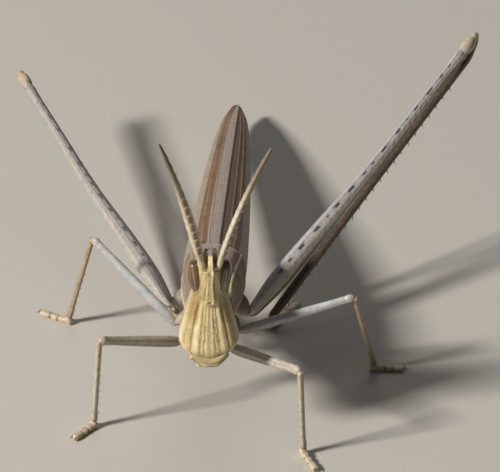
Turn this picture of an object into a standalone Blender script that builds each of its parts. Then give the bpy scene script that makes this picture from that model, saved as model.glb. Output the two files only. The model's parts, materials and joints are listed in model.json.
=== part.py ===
"""Slant-faced grasshopper, adult female, life size, as a still model that stands on its six feet.

Frame: +Z up and the floor at Z = 0. The head points along -Y, the wing tips along +Y, and the
insect's own left side is at +X. The origin lies on the floor under the middle of the model.

Two local frames carry the shapes. The body frame has +Y towards the tail, +Z through the back and its
origin on the body axis above the fore legs. The head frame has -Y towards the tip of the head and its
origin at the neck. A leg is placed by how far its femur and shin turn back from straight out sideways.
Every loft runs along its own +Y through closed outlines in the XZ plane.
"""

from math import asin, cos, pi, radians, sin

import bmesh
import bpy
from mathutils import Matrix, Vector

MM = 0.001
GAP = 0.1 * MM  # clearance between neighbouring plates
LEFT, RIGHT = 1, -1
SIDES = {"left": LEFT, "right": RIGHT}

# Driving dimensions and stance
AXIS_HEIGHT = 10.7 * MM  # body axis above the floor, over the fore legs
BODY_PITCH = radians(9.5)  # the tail hangs lower than the head
HEAD_PITCH = radians(51)  # the line of the crown, from level
HEAD_ROLL = radians(-9.5)
HEAD_BULGE = 2.35  # how square the head is across: 2 is an ellipse
CROWN_PINCH = 0.32  # how much narrower its crown is than its cheeks
EYE_RADII = Vector((0.85, 1.95, 1.15)) * MM
EYE_CENTRE = Vector((1.15, -8.8, 1.85)) * MM  # in the head frame, for the left side
EYE_PITCH = radians(-18)  # the long axis of an eye against the head frame
EYE_SPLAY = radians(8)
ANTENNA_ROOT = Vector((0.68, -11.2, 1.75)) * MM
ANTENNA_LENGTH = 16.0 * MM
ANTENNA_AIM = {"left": (-50, 71), "right": (-41, 66)}  # back from sideways, up, in degrees
ANTENNA_BOW = 1.3 * MM
BLADE_TURN = {"left": 84, "right": -12}  # how the flat of each feeler is turned, in degrees
SOCKET_REACH = 0.3  # share of a feeler that may touch the head
LABRUM_ROOT = Vector((0, -2.55, -3.3)) * MM
LABRUM_SLOPE = Vector((0, 1.4, -0.95))
LABRUM_LENGTH = 1.65 * MM
JAW_ROOT = Vector((1.55, -1.1, -2.7)) * MM
JAW_RUN = Vector((-0.62, 0.25, -1)).normalized() * 1.4 * MM
PALP_ROOT = Vector((0.95, 1.25, -2.0)) * MM
PALP_TIP = Vector((0.8, 0.4, -3.7)) * MM
PALP_JOINTS = 3
NECK = Vector((0, -4.0, 0.0)) * MM  # in the body frame
PRONOTUM_FRONT = -2.3 * MM
PRONOTUM_REAR = 8.3 * MM
THORAX_REAR = 13.6 * MM
ABDOMEN_REAR = 46.5 * MM
VALVE_LENGTH = 2.9 * MM
VALVE_SPREAD = 0.32 * MM  # each pair of egg-laying valves above or below their middle
VALVE_DROP = 0.35 * MM  # that middle below the body axis
CERCUS_ROOT = Vector((0.42, 46.6, 0.52)) * MM
CERCUS_LENGTH = 1.2 * MM
WING_TIP = 55.0 * MM
WING_WALL = 0.5 * MM
SHELL_WALL = 0.55 * MM
SHELL_ENDS = (radians(-52), radians(232))  # the lower edges of the shield, from +X up over the back
COXA_ROOT = (0.9 * MM, -2.6 * MM)  # inner end of a hip: out from the middle and above the body axis
KNEE_DROP = 1.42 * MM  # a folded hind shin starts this far under its femur
FOOT_WIDTH = 0.72 * MM
SOLE_HEIGHT = 0.6 * MM  # thickness of a foot above its flat sole
HEEL = 0.1  # share of a foot that lies behind the ankle

# Each pair of legs: hip in the body frame, lengths, and thickness and depth of its members
LEGS = {
    "fore": {
        "hip": Vector((2.5, 0.0, -3.5)) * MM,
        "femur": 10.0 * MM,
        "tibia": 9.65 * MM,
        "tarsus": 3.6 * MM,
        "coxa": 0.8 * MM,
        "girth": 1.12 * MM,
        "shin": 0.56 * MM,
    },
    "mid": {
        "hip": Vector((3.2, 6.0, -4.2)) * MM,
        "femur": 11.2 * MM,
        "tibia": 10.3 * MM,
        "tarsus": 3.7 * MM,
        "coxa": 0.85 * MM,
        "girth": 1.02 * MM,
        "shin": 0.54 * MM,
    },
    "hind": {
        "hip": Vector((3.9, 10.4, -4.2)) * MM,
        "femur": 39.0 * MM,
        "tibia": 36.0 * MM,
        "tarsus": 6.6 * MM,
        "coxa": 1.2 * MM,
        "girth": 2.45 * MM,
        "shin": 0.86 * MM,
    },
}

# The stance of each leg, in degrees: femur back from sideways, femur up from level, shin back from
# sideways (over 90 brings it inwards), foot back from sideways, lean of the femur's top outwards
STANCE = {
    ("fore", "left"): (-48, 17.5, 55, -62, 0),
    ("fore", "right"): (-42, 18.5, 98, -58, 0),
    ("mid", "left"): (6, 24, 50, 12, 0),
    ("mid", "right"): (28, 28.5, 45, 20, 0),
    ("hind", "left"): (56.1, 27.6, 233.4, 62, 0),
    ("hind", "right"): (60.9, 6.7, 237.5, 66, 28),
}

# Base colours (linear) and roughness of the plain solids
FINISHES = {
    "face": ((0.52, 0.40, 0.20), 0.45),
    "eye": ((0.16, 0.09, 0.05), 0.2),
    "feeler": ((0.42, 0.33, 0.22), 0.55),
    "body": ((0.36, 0.27, 0.18), 0.5),
    "wing": ((0.27, 0.17, 0.11), 0.5),
    "belly": ((0.42, 0.36, 0.26), 0.5),
    "leg": ((0.40, 0.36, 0.29), 0.5),
}


# Small tools


def clear_scene():
    for obj in list(bpy.data.objects):
        bpy.data.objects.remove(obj, do_unlink=True)


def new_collection(name):
    collection = bpy.data.collections.new(name)
    bpy.context.scene.collection.children.link(collection)
    return collection


def finish(name):
    """The Principled material of one finish, made once."""
    material = bpy.data.materials.get(name)
    if material is None:
        colour, roughness = FINISHES[name]
        material = bpy.data.materials.new(name)
        material.use_nodes = True
        shader = material.node_tree.nodes["Principled BSDF"]
        shader.inputs["Base Color"].default_value = (*colour, 1)
        shader.inputs["Roughness"].default_value = roughness
    return material


def smooth(knots, t):
    """A smooth curve through a few (t, value) knots, flat beyond its ends."""
    if t <= knots[0][0]:
        return knots[0][1]
    for i in range(len(knots) - 1):
        (t0, v0), (t1, v1) = knots[i], knots[i + 1]
        if t <= t1:
            before = knots[max(i - 1, 0)]
            after = knots[min(i + 2, len(knots) - 1)]
            span = t1 - t0
            m0 = (v1 - before[1]) / (t1 - before[0]) * span
            m1 = (after[1] - v0) / (after[0] - t0) * span
            x = (t - t0) / span
            return (
                v0 * (2 * x**3 - 3 * x**2 + 1)
                + m0 * (x**3 - 2 * x**2 + x)
                + v1 * (3 * x**2 - 2 * x**3)
                + m1 * (x**3 - x**2)
            )
    return knots[-1][1]


def rounded(value, power):
    """sin or cos bent towards the corner of a box as power grows over 2."""
    return (abs(value) ** (2 / power)) * (1 if value >= 0 else -1)


def oval(half_width, top, bottom, count, power=2.0, pinch=0.0):
    """A closed outline about the local axis. pinch narrows it towards its top."""
    outline = []
    for i in range(count):
        turn = 2 * pi * i / count
        up = rounded(sin(turn), power)
        z = up * top if up > 0 else -up * bottom
        x = rounded(cos(turn), power) * half_width * (1 - pinch * max(up, 0))
        outline.append(Vector((x, 0, z)))
    return outline


def shell(half_width, top, bottom, first, last, wall, count, power=2.4):
    """A curved strip of the given wall, from one turn to another, both from +X up over the back."""
    strip = []
    for inset, order in ((0, range(count)), (wall, reversed(range(count)))):
        for i in order:
            turn = first + (last - first) * i / (count - 1)
            reach = max(half_width - inset, 0.02 * MM)
            rise = (top if sin(turn) > 0 else -bottom) - inset
            x = rounded(cos(turn), power) * reach
            strip.append(Vector((x, 0, rounded(sin(turn), power) * max(rise, 0.02 * MM))))
    return strip


def raked(outline, rake, level=0.0):
    """The outline leant along Y, by rake for each unit above the level."""
    return [point + Vector((0, rake * (point.z - level), 0)) for point in outline]


def add_object(name, mesh, collection, material):
    obj = bpy.data.objects.new(name, mesh)
    collection.objects.link(obj)
    if material:
        mesh.materials.append(finish(material))
    return obj


def loft(name, stations, collection, material=None):
    """One closed body through (matrix, outline) stations, with flat ends."""
    bm = bmesh.new()
    rings = []
    for matrix, outline in stations:
        rings.append([bm.verts.new(matrix @ point) for point in outline])
    for ring, following in zip(rings, rings[1:]):
        for i in range(len(ring)):
            j = (i + 1) % len(ring)
            bm.faces.new((ring[i], ring[j], following[j], following[i]))
    bm.faces.new(rings[0])
    bm.faces.new(rings[-1])
    bmesh.ops.recalc_face_normals(bm, faces=bm.faces)
    mesh = bpy.data.meshes.new(name)
    bm.to_mesh(mesh)
    bm.free()
    mesh.shade_smooth()
    mesh.set_sharp_from_angle(angle=radians(50))
    return add_object(name, mesh, collection, material)


def ball(name, centre, radii, collection, material=None, turn=None, segments=14):
    """An ellipsoid with its pole along its own Y."""
    bm = bmesh.new()
    scale = Matrix.Diagonal((*radii, 1)) @ Matrix.Rotation(pi / 2, 4, "X")
    bmesh.ops.create_uvsphere(bm, u_segments=segments, v_segments=segments // 2, radius=1)
    bmesh.ops.transform(bm, matrix=Matrix.Translation(centre) @ (turn or Matrix()) @ scale, verts=bm.verts)
    mesh = bpy.data.meshes.new(name)
    bm.to_mesh(mesh)
    bm.free()
    mesh.shade_smooth()
    return add_object(name, mesh, collection, material)


def cut(obj, cutter):
    """Takes the cutter's shape out of the object."""
    cutter.hide_render = True
    cutter.display_type = "WIRE"
    modifier = obj.modifiers.new("cut_" + cutter.name, "BOOLEAN")
    modifier.operation = "DIFFERENCE"
    modifier.object = cutter


def aim(start, direction, up=Vector((0, 0, 1))):
    """A matrix at start whose Y runs along the direction and whose Z leans towards up."""
    along = direction.normalized()
    back = (up - along * up.dot(along)).normalized()
    side = along.cross(back)
    return Matrix.Translation(start) @ Matrix((side, along, back)).transposed().to_4x4()


def mirrored(point, side):
    """A point given for the left side, on the side asked for."""
    return Vector((side * point.x, point.y, point.z))


def heading(side, back, up):
    """Unit direction turned back from sideways and up from level, in degrees."""
    b, e = radians(back), radians(up)
    return Vector((side * cos(e) * cos(b), cos(e) * sin(b), sin(e)))


def shares(count):
    """count shares from 0 to 1."""
    return [i / (count - 1) for i in range(count)]


# The head


def head_rings(grow=0.0):
    """Rings of the capsule. Each leans from a point of the crown to a point of the lower side.

    Crown and lower side are (Y, Z) curves in millimetres along the share of the head's length.
    The first ring stands upright behind the cheeks, and the last is the tip between the feelers.
    grow swells the rings, for the clearance cut out of the mouth parts.
    """
    crown_y = ((0, 0.1), (0.3, -3.4), (0.95, -12.2), (1, -13.25))
    crown_z = ((0, 3.35), (0.15, 3.55), (0.5, 3.45), (0.85, 3.35), (1, 3.32))
    chin_y = ((0, 2.7), (0.1, 1.1), (0.2, -0.9), (0.3, -2.5))
    face_y = ((0.4, -3.9), (0.65, -7.2), (0.95, -12.15), (1, -13.2))
    chin_z = ((0, -1.3), (0.1, -2.5), (0.2, -3.4), (0.3, -3.58))
    face_z = ((0.4, -2.5), (0.65, -0.1), (0.88, 1.5), (1, 2.45))
    cheeks = ((0, 2.1), (0.1, 2.4), (0.27, 2.75), (0.4, 2.35))
    brow = ((0.6, 1.55), (0.76, 1.15), (0.9, 0.76), (1, 0.6))
    middle_share = ((0, 0.5), (0.3, 0.3), (0.7, 0.42), (1, 0.5))
    rings = []
    for t in shares(18):
        top = Vector((0, smooth(crown_y, t), smooth(crown_z, t))) * MM
        low = Vector((0, smooth(chin_y + face_y, t), smooth(chin_z + face_z, t))) * MM
        up = top - low
        middle = low + up * smooth(middle_share, t)
        height = (top - middle).length + grow
        depth = (low - middle).length + grow
        half = smooth(cheeks + brow, t) * MM + grow
        place = aim(middle, Vector((0, -1, 0)), up)
        rings.append((place, oval(half, height, -depth, 20, HEAD_BULGE, CROWN_PINCH)))
    return rings


def build_head(body, head, parts, cutters):
    """The head capsule with its sockets, the eyes, the feelers and the mouth."""
    capsule = loft("head", [(head @ m, o) for m, o in head_rings()], parts, "face")
    clearance = loft("head_clearance", [(head @ m, o) for m, o in head_rings(GAP)], cutters)
    past = 8 * MM  # well past the head on every side
    places = [body @ Matrix.Translation((0, PRONOTUM_FRONT + y, 0)) for y in (-GAP, past)]
    cut(capsule, loft("behind_the_head", [(place, oval(past, past, -past, 4)) for place in places], cutters))
    labrum_cutter = build_labrum(head, clearance, parts, cutters)
    for name, side in SIDES.items():
        build_eye(head, name, side, capsule, parts, cutters)
        build_antenna(head, name, side, capsule, parts, cutters)
        build_mandible(head, name, side, (clearance, labrum_cutter), parts)
        build_palp(head, name, side, clearance, parts)


def build_eye(head, name, side, capsule, parts, cutters):
    """A long oval eye near the tip of the head, sunk to about half its width."""
    centre = head @ mirrored(EYE_CENTRE, side)
    turn = head.to_3x3().to_4x4() @ Matrix.Rotation(EYE_PITCH, 4, "X")
    turn @= Matrix.Rotation(side * EYE_SPLAY, 4, "Z")
    ball(f"eye_{name}", centre, EYE_RADII, parts, "eye", turn, segments=16)
    clear = EYE_RADII + Vector((GAP, GAP, GAP))
    cut(capsule, ball(f"socket_{name}", centre, clear, cutters, None, turn, segments=16))


def antenna_rings(name, side, grow=0.0, reach=1.0):
    """A sword-shaped feeler: short round base, broad three-sided blade, long taper to a blunt tip."""
    root_width = ((0, 0.5), (0.04, 0.74), (0.075, 0.6), (0.12, 0.8))
    blade_width = ((0.26, 1.12), (0.45, 0.96), (0.7, 0.68), (1, 0.5))
    thick = ((0, 0.5), (0.04, 0.66), (0.075, 0.54), (0.14, 0.56), (0.3, 0.58), (0.6, 0.53), (1, 0.5))
    turn = Matrix.Rotation(radians(BLADE_TURN[name]), 4, "Y")
    rings = []
    for t in (0, 0.02, 0.05, 0.075, 0.12, 0.18, 0.26, 0.35, 0.45, 0.56, 0.68, 0.8, 0.9, 0.98, 1.0):
        if t > reach:
            break
        end = 0.7 if t == 1.0 else 1.0  # blunt tip
        half = smooth(root_width + blade_width, t) * MM / 2 * end + grow
        depth = smooth(thick, t) * MM / 2 * end + grow
        bow = side * ANTENNA_BOW * (t * t - t)  # straight up at first, then curving outwards
        place = Matrix.Translation((bow, t * ANTENNA_LENGTH, 0)) @ turn
        rings.append((place, oval(half, depth, -depth, 10, power=1.8)))
    return rings


def build_antenna(head, name, side, capsule, parts, cutters):
    """A feeler, and the socket that its base leaves in the head."""
    root = head @ mirrored(ANTENNA_ROOT, side)
    blade = aim(root, heading(side, *ANTENNA_AIM[name]), up=Vector((0, -1, 0)))
    loft(f"antenna_{name}", [(blade @ m, o) for m, o in antenna_rings(name, side)], parts, "feeler")
    clearance = [(blade @ m, o) for m, o in antenna_rings(name, side, GAP, SOCKET_REACH)]
    first = (clearance[0][0] @ Matrix.Translation((0, -GAP, 0)), clearance[0][1])
    cut(capsule, loft(f"antenna_socket_{name}", [first, *clearance], cutters))


def labrum_rings(head, grow=0.0):
    """Clypeus and upper lip: a curved plate that carries the slope of the face down over the mouth."""
    outwards = Vector((0, LABRUM_SLOPE.z, -LABRUM_SLOPE.y))
    plate = head @ aim(LABRUM_ROOT, LABRUM_SLOPE, up=outwards)
    width = ((0, 1.8), (0.3, 1.7), (0.55, 1.4), (0.8, 1.25), (1, 0.8))
    bulge = ((0, 0.26), (0.35, 0.45), (0.7, 0.38), (1, 0.18))
    rings = []
    for t in shares(7):
        rise = smooth(bulge, t) * MM + grow
        outline = oval(smooth(width, t) * MM + grow, rise, -0.1 * MM - rise * 0.6, 16, power=2.3)
        rings.append((plate @ Matrix.Translation((0, t * (LABRUM_LENGTH + grow), 0)), outline))
    return rings


def build_labrum(head, clearance, parts, cutters):
    """The lip, fitted under the face. Returns its own clearance."""
    cut(loft("labrum", labrum_rings(head), parts, "face"), clearance)
    return loft("labrum_clearance", labrum_rings(head, GAP), cutters)


def build_mandible(head, name, side, clearances, parts):
    """One jaw, behind the lip and below the cheek."""
    place = aim(mirrored(JAW_ROOT, side), mirrored(JAW_RUN, side), up=Vector((side, 0, 0)))
    width = ((0, 0.55), (0.5, 0.62), (0.8, 0.5), (1, 0.25))
    stations = []
    for t in shares(6):
        half = smooth(width, t) * MM
        move = Matrix.Translation((0, t * JAW_RUN.length, 0))
        stations.append((head @ place @ move, oval(half, half * 0.85, -half * 0.85, 10)))
    jaw = loft(f"mandible_{name}", stations, parts, "face")
    for clearance in clearances:
        cut(jaw, clearance)


def build_palp(head, name, side, clearance, parts):
    """A jointed palp, folded forward under the mouth."""
    start = mirrored(PALP_ROOT, side)
    run = mirrored(PALP_TIP, side) - start
    place = head @ aim(start, run, up=Vector((side, 0, 0)))
    stations = []
    for t in shares(8):
        half = (0.27 + 0.03 * cos(t * PALP_JOINTS * 2 * pi)) * MM * (0.75 if t == 1 else 1)
        stations.append((place @ Matrix.Translation((0, t * run.length, 0)), oval(half, half, -half, 8)))
    cut(loft(f"palp_{name}", stations, parts, "feeler"), clearance)


# The trunk


def build_pronotum(body, thorax_cutter, parts):
    """The saddle-shaped shield: flat disc between two keels, deep side lobes, raked hind margin."""
    width = ((0, 2.25), (0.35, 2.35), (0.55, 2.5), (1, 2.95))
    top = ((0, 2.85), (0.3, 3.1), (0.55, 3.12), (1, 3.3))
    bottom = ((0, -2.2), (0.2, -2.5), (0.7, -2.75), (1, -2.2))
    stations = []
    for t in shares(9):
        along = PRONOTUM_FRONT + t * (PRONOTUM_REAR - PRONOTUM_FRONT)
        outline = shell(
            smooth(width, t) * MM,
            smooth(top, t) * MM,
            smooth(bottom, t) * MM,
            *SHELL_ENDS,
            SHELL_WALL,
            16,
            power=2.9,
        )
        rake = smooth(((0, 0.0), (0.4, 0.0), (1, 0.62)), t)
        stations.append((body @ Matrix.Translation((0, along, 0)), raked(outline, rake, smooth(top, t) * MM)))
    cut(loft("pronotum", stations, parts, "body"), thorax_cutter)


def thorax_stations(body, grow=0.0):
    """The trunk between the legs. grow swells it, for the clearance cut out of the hips."""
    width = ((0, 1.45), (0.2, 1.75), (0.6, 2.3), (0.8, 2.5), (1, 2.1))
    top = ((0, 1.7), (0.25, 2.3), (0.8, 2.45), (1, 2.1))
    bottom = ((0, -2.9), (0.2, -3.5), (0.5, -4.4), (0.85, -4.4), (1, -3.4))
    stations = []
    first = PRONOTUM_FRONT + GAP
    for t in shares(8):
        outline = oval(
            smooth(width, t) * MM + grow,
            smooth(top, t) * MM + grow,
            smooth(bottom, t) * MM - grow,
            18,
            power=2.6,
        )
        along = first + t * (THORAX_REAR - first) + (2 * t - 1) * 2 * grow
        stations.append((body @ Matrix.Translation((0, along, 0)), outline))
    return stations


def build_abdomen(body, parts):
    """Nine telescoping rings under the wings, each a little wider at its hind edge."""
    rings, along = 9, THORAX_REAR + GAP
    width = ((0, 2.0), (0.3, 1.85), (0.7, 1.4), (0.9, 1.05), (1, 0.7))
    top = ((0, 2.05), (0.4, 1.75), (0.8, 1.25), (1, 0.8))
    bottom = ((0, -3.0), (0.3, -2.75), (0.7, -1.9), (1, -0.75))
    stations = []
    for ring in range(rings):
        for share, swell in ((0.0, 0.94), (0.9, 1.0)):
            t = (ring + share) / rings
            outline = oval(
                smooth(width, t) * MM * swell,
                smooth(top, t) * MM * swell,
                smooth(bottom, t) * MM * swell,
                14,
                power=2.2,
            )
            stations.append((body @ Matrix.Translation((0, along + t * (ABDOMEN_REAR - along), 0)), outline))
    loft("abdomen", stations, parts, "belly")


def build_tail(body, parts):
    """Egg-laying valves, an upper and a lower pair with hooked tips, and the two short cerci."""
    for name, up in (("ovipositor_upper", 1), ("ovipositor_lower", -1)):
        root = body @ Matrix.Translation((0, ABDOMEN_REAR + GAP, up * VALVE_SPREAD - VALVE_DROP))
        stations = []
        for t in shares(6):
            lift = Matrix.Translation((0, t * VALVE_LENGTH, up * 0.3 * t**4 * MM))
            half = smooth(((0, 0.5), (0.6, 0.42), (1, 0.25)), t) * MM
            depth = smooth(((0, 0.27), (0.6, 0.26), (1, 0.25)), t) * MM
            stations.append((root @ lift, oval(half, depth, -depth, 12)))
        loft(name, stations, parts, "belly")
    for name, side in SIDES.items():
        root = body @ aim(mirrored(CERCUS_ROOT, side), Vector((side * 0.05, 1, 0.03)))
        stations = []
        for t in shares(4):
            half = (0.27 - 0.03 * t) * MM
            along = Matrix.Translation((0, t * CERCUS_LENGTH, 0))
            stations.append((root @ along, oval(half, half, -half, 8)))
        loft(f"cercus_{name}", stations, parts, "belly")


def build_wing(body, name, side, thorax_cutter, parts):
    """A fore wing folded over the back: narrow top field, bend at the shoulder, side field below."""
    first = PRONOTUM_REAR + 2 * GAP
    reach = ((0, 3.05), (0.1, 3.0), (0.4, 2.65), (0.7, 2.1), (0.88, 1.5), (0.97, 0.9), (1, 0.6))
    top = ((0, 3.2), (0.15, 2.95), (0.5, 2.3), (0.8, 1.75), (0.95, 1.25), (1, 0.95))
    bottom = ((0, -1.1), (0.12, -2.2), (0.5, -2.0), (0.8, -1.3), (0.95, -0.65), (1, -0.55))
    lower = ((0, -22), (0.12, -38), (0.6, -35), (0.9, -30), (1, -8))
    count = 8
    stations = []
    for t in (0, 0.06, 0.14, 0.25, 0.38, 0.5, 0.62, 0.73, 0.82, 0.89, 0.94, 0.975, 1):
        outline = shell(
            smooth(reach, t) * MM - GAP / 2,
            smooth(top, t) * MM,
            smooth(bottom, t) * MM,
            radians(smooth(lower, t)),
            radians(89.9),
            WING_WALL,
            count,
            power=2.5,
        )
        outline = [Vector((point.x + GAP / 2, point.y, point.z)) for point in outline]
        if side == RIGHT:
            outline = [Vector((-point.x, point.y, point.z)) for point in outline]
        rake = smooth(((0, 0.62), (0.25, 0.1), (1, 0.0)), t)
        place = body @ Matrix.Translation((0, first + t * (WING_TIP - first), 0))
        stations.append((place, raked(outline, rake, 3.3 * MM)))
    cut(loft(f"forewing_{name}", stations, parts, "wing"), thorax_cutter)


# The legs


def member_rings(start, end, up, thick, depth, counts, grow=0.0):
    """Rings of a limb member. thick and depth are knots in millimetres of full size."""
    place = aim(start, end - start, up)
    length = (end - start).length
    steps, around = counts
    rings = []
    for t in shares(steps):
        half, rise = smooth(thick, t) * MM / 2 + grow, smooth(depth, t) * MM / 2 + grow
        move = Matrix.Translation((0, t * length + (2 * t - 1) * grow, 0))
        rings.append((place @ move, oval(half, rise, -rise, around, power=2.2)))
    return rings


def build_foot(name, ankle, direction, length, scale, parts):
    """A three-jointed foot on flat pads. Its sole is at the floor under each pad."""
    place = aim(Vector((ankle.x, ankle.y, 0)), direction)
    pads = ((0.0, 0.38), (0.46, 0.6), (0.7, 0.94))
    stations = []
    for first, last in pads:
        grow = 0.9 if first else 1.0
        for t, lift, size in (
            (first, 0.1, 0.66),
            (first + 0.04, 0.0, 1.0),
            (last - 0.04, 0.0, 1.0),
            (last, 0.1, 0.66),
        ):
            high = SOLE_HEIGHT * (0.9 if size < 1 else 1.0) * grow
            half = FOOT_WIDTH / 2 * scale * size * grow
            sole = lift * MM
            outline = [
                Vector((x * half, 0, sole + z * (high - sole)))
                for x, z in ((1, 0), (1.12, 0.4), (0.6, 1), (-0.6, 1), (-1.12, 0.4), (-1, 0))
            ]
            stations.append((place @ Matrix.Translation((0, (t - HEEL) * length, 0)), outline))
    loft(name, stations, parts, "leg")


def build_leg(body, pair, name, thorax_cutter, parts, cutters):
    """Hip, femur, shin and foot of one leg, in its stance."""
    size, side = LEGS[pair], SIDES[name]
    femur_back, femur_up, shin_back, foot_back, lean = STANCE[(pair, name)]
    hip = body @ mirrored(size["hip"], side)
    run = heading(side, femur_back, femur_up)
    upright = Vector((0, 0, 1))
    outward = Vector((side * sin(radians(femur_back)), -cos(radians(femur_back)), 0))
    back = (upright - run * run.dot(upright)).normalized() * cos(radians(lean)) + outward * sin(radians(lean))
    knee = hip + run * size["femur"]
    girth, shin = size["girth"] / MM, size["shin"] / MM

    inside = body @ Vector((side * COXA_ROOT[0], size["hip"].y, COXA_ROOT[1]))
    root = hip - run * GAP - inside
    radii = Vector((size["coxa"], root.length / 2, size["coxa"]))
    coxa = ball(f"{pair}_coxa_{name}", inside + root / 2, radii, parts, "leg", aim(Vector(), root), 12)
    cut(coxa, thorax_cutter)

    if pair == "hind":
        thick = ((0, 0.8), (0.03, 1.15), (0.12, 1.65), (0.3, 1.55), (0.6, 1.15), (0.85, 0.9))
        thick += ((0.955, 1.1), (1, 0.8))  # the knee
        depth = ((0, 1.0), (0.03, 1.6), (0.12, girth), (0.3, 2.2), (0.6, 1.5), (0.85, 1.15))
        depth += ((0.955, 1.5), (1, 1.05))
        shin_start = knee - back * KNEE_DROP
        counts = (17, 12)
    else:
        thick = ((0, 0.5), (0.1, girth * 0.8), (0.4, girth * 0.85), (0.9, girth * 0.66), (1, girth * 0.6))
        depth = ((0, 0.6), (0.1, girth * 0.95), (0.35, girth), (0.85, girth * 0.78))
        depth += ((0.95, girth * 0.86), (1, girth * 0.7))
        shin_start = knee
        counts = (8, 10)
    femur = (hip, knee, back, thick, depth, counts)
    loft(f"{pair}_femur_{name}", member_rings(*femur), parts, "leg")
    cut(coxa, loft(f"{pair}_femur_clearance_{name}", member_rings(*femur, GAP), cutters))

    ankle_height = SOLE_HEIGHT + GAP + (0.5 if pair == "hind" else 0.28) * size["shin"]
    drop = asin((shin_start.z - ankle_height) / size["tibia"])
    fall = heading(side, shin_back, 0) * cos(drop) - upright * sin(drop)
    ankle = shin_start + fall * size["tibia"]
    if pair == "hind":
        thick = ((0, 0.8), (0.03, 1.0), (0.08, shin * 0.85), (0.5, shin * 0.8), (0.93, shin), (1, shin * 0.8))
        depth = ((0, 0.8), (0.03, 1.05), (0.08, shin), (0.5, shin * 0.9), (0.93, shin * 1.1), (1, shin * 0.8))
        top = shin_start
        counts = (13, 8)
    else:
        thick = ((0, shin * 1.1), (0.1, shin), (0.85, shin * 0.95), (0.96, shin * 1.15), (1, shin * 0.9))
        depth = thick
        top = shin_start + fall * (girth * 0.5 * MM + GAP)
        counts = (7, 8)
    facing = -heading(side, shin_back, 0) if pair == "hind" else run
    loft(f"{pair}_tibia_{name}", member_rings(top, ankle, facing, thick, depth, counts), parts, "leg")
    foot_scale = size["shin"] / LEGS["fore"]["shin"]
    build_foot(f"{pair}_tarsus_{name}", ankle, heading(side, foot_back, 0), size["tarsus"], foot_scale, parts)


# The whole insect


def stand_at_origin(parts, cutters):
    """Moves everything so that the middle of the model's outline lies over the origin."""
    points = [obj.matrix_world @ Vector(corner) for obj in parts.objects for corner in obj.bound_box]
    middle = [(min(p[i] for p in points) + max(p[i] for p in points)) / 2 for i in (0, 1)]
    for obj in (*parts.objects, *cutters.objects):
        obj.location = (-middle[0], -middle[1], 0)


def build():
    clear_scene()
    parts = new_collection("grasshopper")
    cutters = new_collection("cutters")
    body = Matrix.Translation((0, 0, AXIS_HEIGHT)) @ Matrix.Rotation(-BODY_PITCH, 4, "X")
    head = (
        Matrix.Translation(body @ NECK)
        @ Matrix.Rotation(-HEAD_PITCH, 4, "X")
        @ Matrix.Rotation(HEAD_ROLL, 4, "Y")
    )
    thorax_cutter = loft("thorax_clearance", thorax_stations(body, grow=GAP), cutters)
    build_head(body, head, parts, cutters)
    build_pronotum(body, thorax_cutter, parts)
    loft("thorax", thorax_stations(body), parts, "belly")
    build_abdomen(body, parts)
    build_tail(body, parts)
    for name, side in SIDES.items():
        build_wing(body, name, side, thorax_cutter, parts)
        for pair in LEGS:
            build_leg(body, pair, name, thorax_cutter, parts, cutters)
    stand_at_origin(parts, cutters)


build()
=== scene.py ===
# %% [markdown]
# # A slant-faced grasshopper, as a museum model
# The insect stands still on six feet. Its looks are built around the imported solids, piece by
# piece: head, eyes, feelers, shield, trunk, wings and legs. Lengths are in metres, so
# millimetres get a name.

# %% Load the fixed frame
import json
from math import asin, cos, exp, pi, radians, sin, sqrt

import bmesh
import bpy
from mathutils import Matrix, Vector, noise

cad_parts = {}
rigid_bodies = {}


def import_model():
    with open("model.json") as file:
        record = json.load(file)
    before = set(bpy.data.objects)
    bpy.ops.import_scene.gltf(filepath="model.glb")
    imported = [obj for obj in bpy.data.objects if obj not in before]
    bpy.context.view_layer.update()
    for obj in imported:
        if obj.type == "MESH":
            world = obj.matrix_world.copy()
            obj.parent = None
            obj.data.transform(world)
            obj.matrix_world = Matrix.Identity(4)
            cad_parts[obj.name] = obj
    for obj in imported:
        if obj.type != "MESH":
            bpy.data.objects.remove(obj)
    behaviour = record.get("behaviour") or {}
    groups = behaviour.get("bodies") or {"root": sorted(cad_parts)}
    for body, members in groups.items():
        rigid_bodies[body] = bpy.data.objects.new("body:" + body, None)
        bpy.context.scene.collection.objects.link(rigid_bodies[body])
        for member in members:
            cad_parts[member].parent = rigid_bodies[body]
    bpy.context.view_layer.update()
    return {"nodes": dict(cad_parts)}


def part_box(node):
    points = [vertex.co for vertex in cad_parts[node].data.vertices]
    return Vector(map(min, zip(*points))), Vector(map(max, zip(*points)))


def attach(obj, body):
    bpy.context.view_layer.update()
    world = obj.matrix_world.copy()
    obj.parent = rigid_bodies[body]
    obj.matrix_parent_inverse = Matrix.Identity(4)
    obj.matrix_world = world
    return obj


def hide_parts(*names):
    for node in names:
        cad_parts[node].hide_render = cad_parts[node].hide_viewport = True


MM = 0.001


def mm(x, y, z):
    """A place or an offset given in millimetres."""
    return Vector((x, y, z)) * MM


LEFT, RIGHT = 1, -1
SIDES = {"left": LEFT, "right": RIGHT}
for leftover in list(bpy.data.objects):
    bpy.data.objects.remove(leftover, do_unlink=True)
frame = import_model()
print("nodes in the frame:", len(frame["nodes"]))

# %% [markdown]
# ## The camera
# The insect looks at us from a little below the lens, and the lens is long, as in close work on
# small animals. The camera comes first, so that every later piece can be judged through it.

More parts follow.
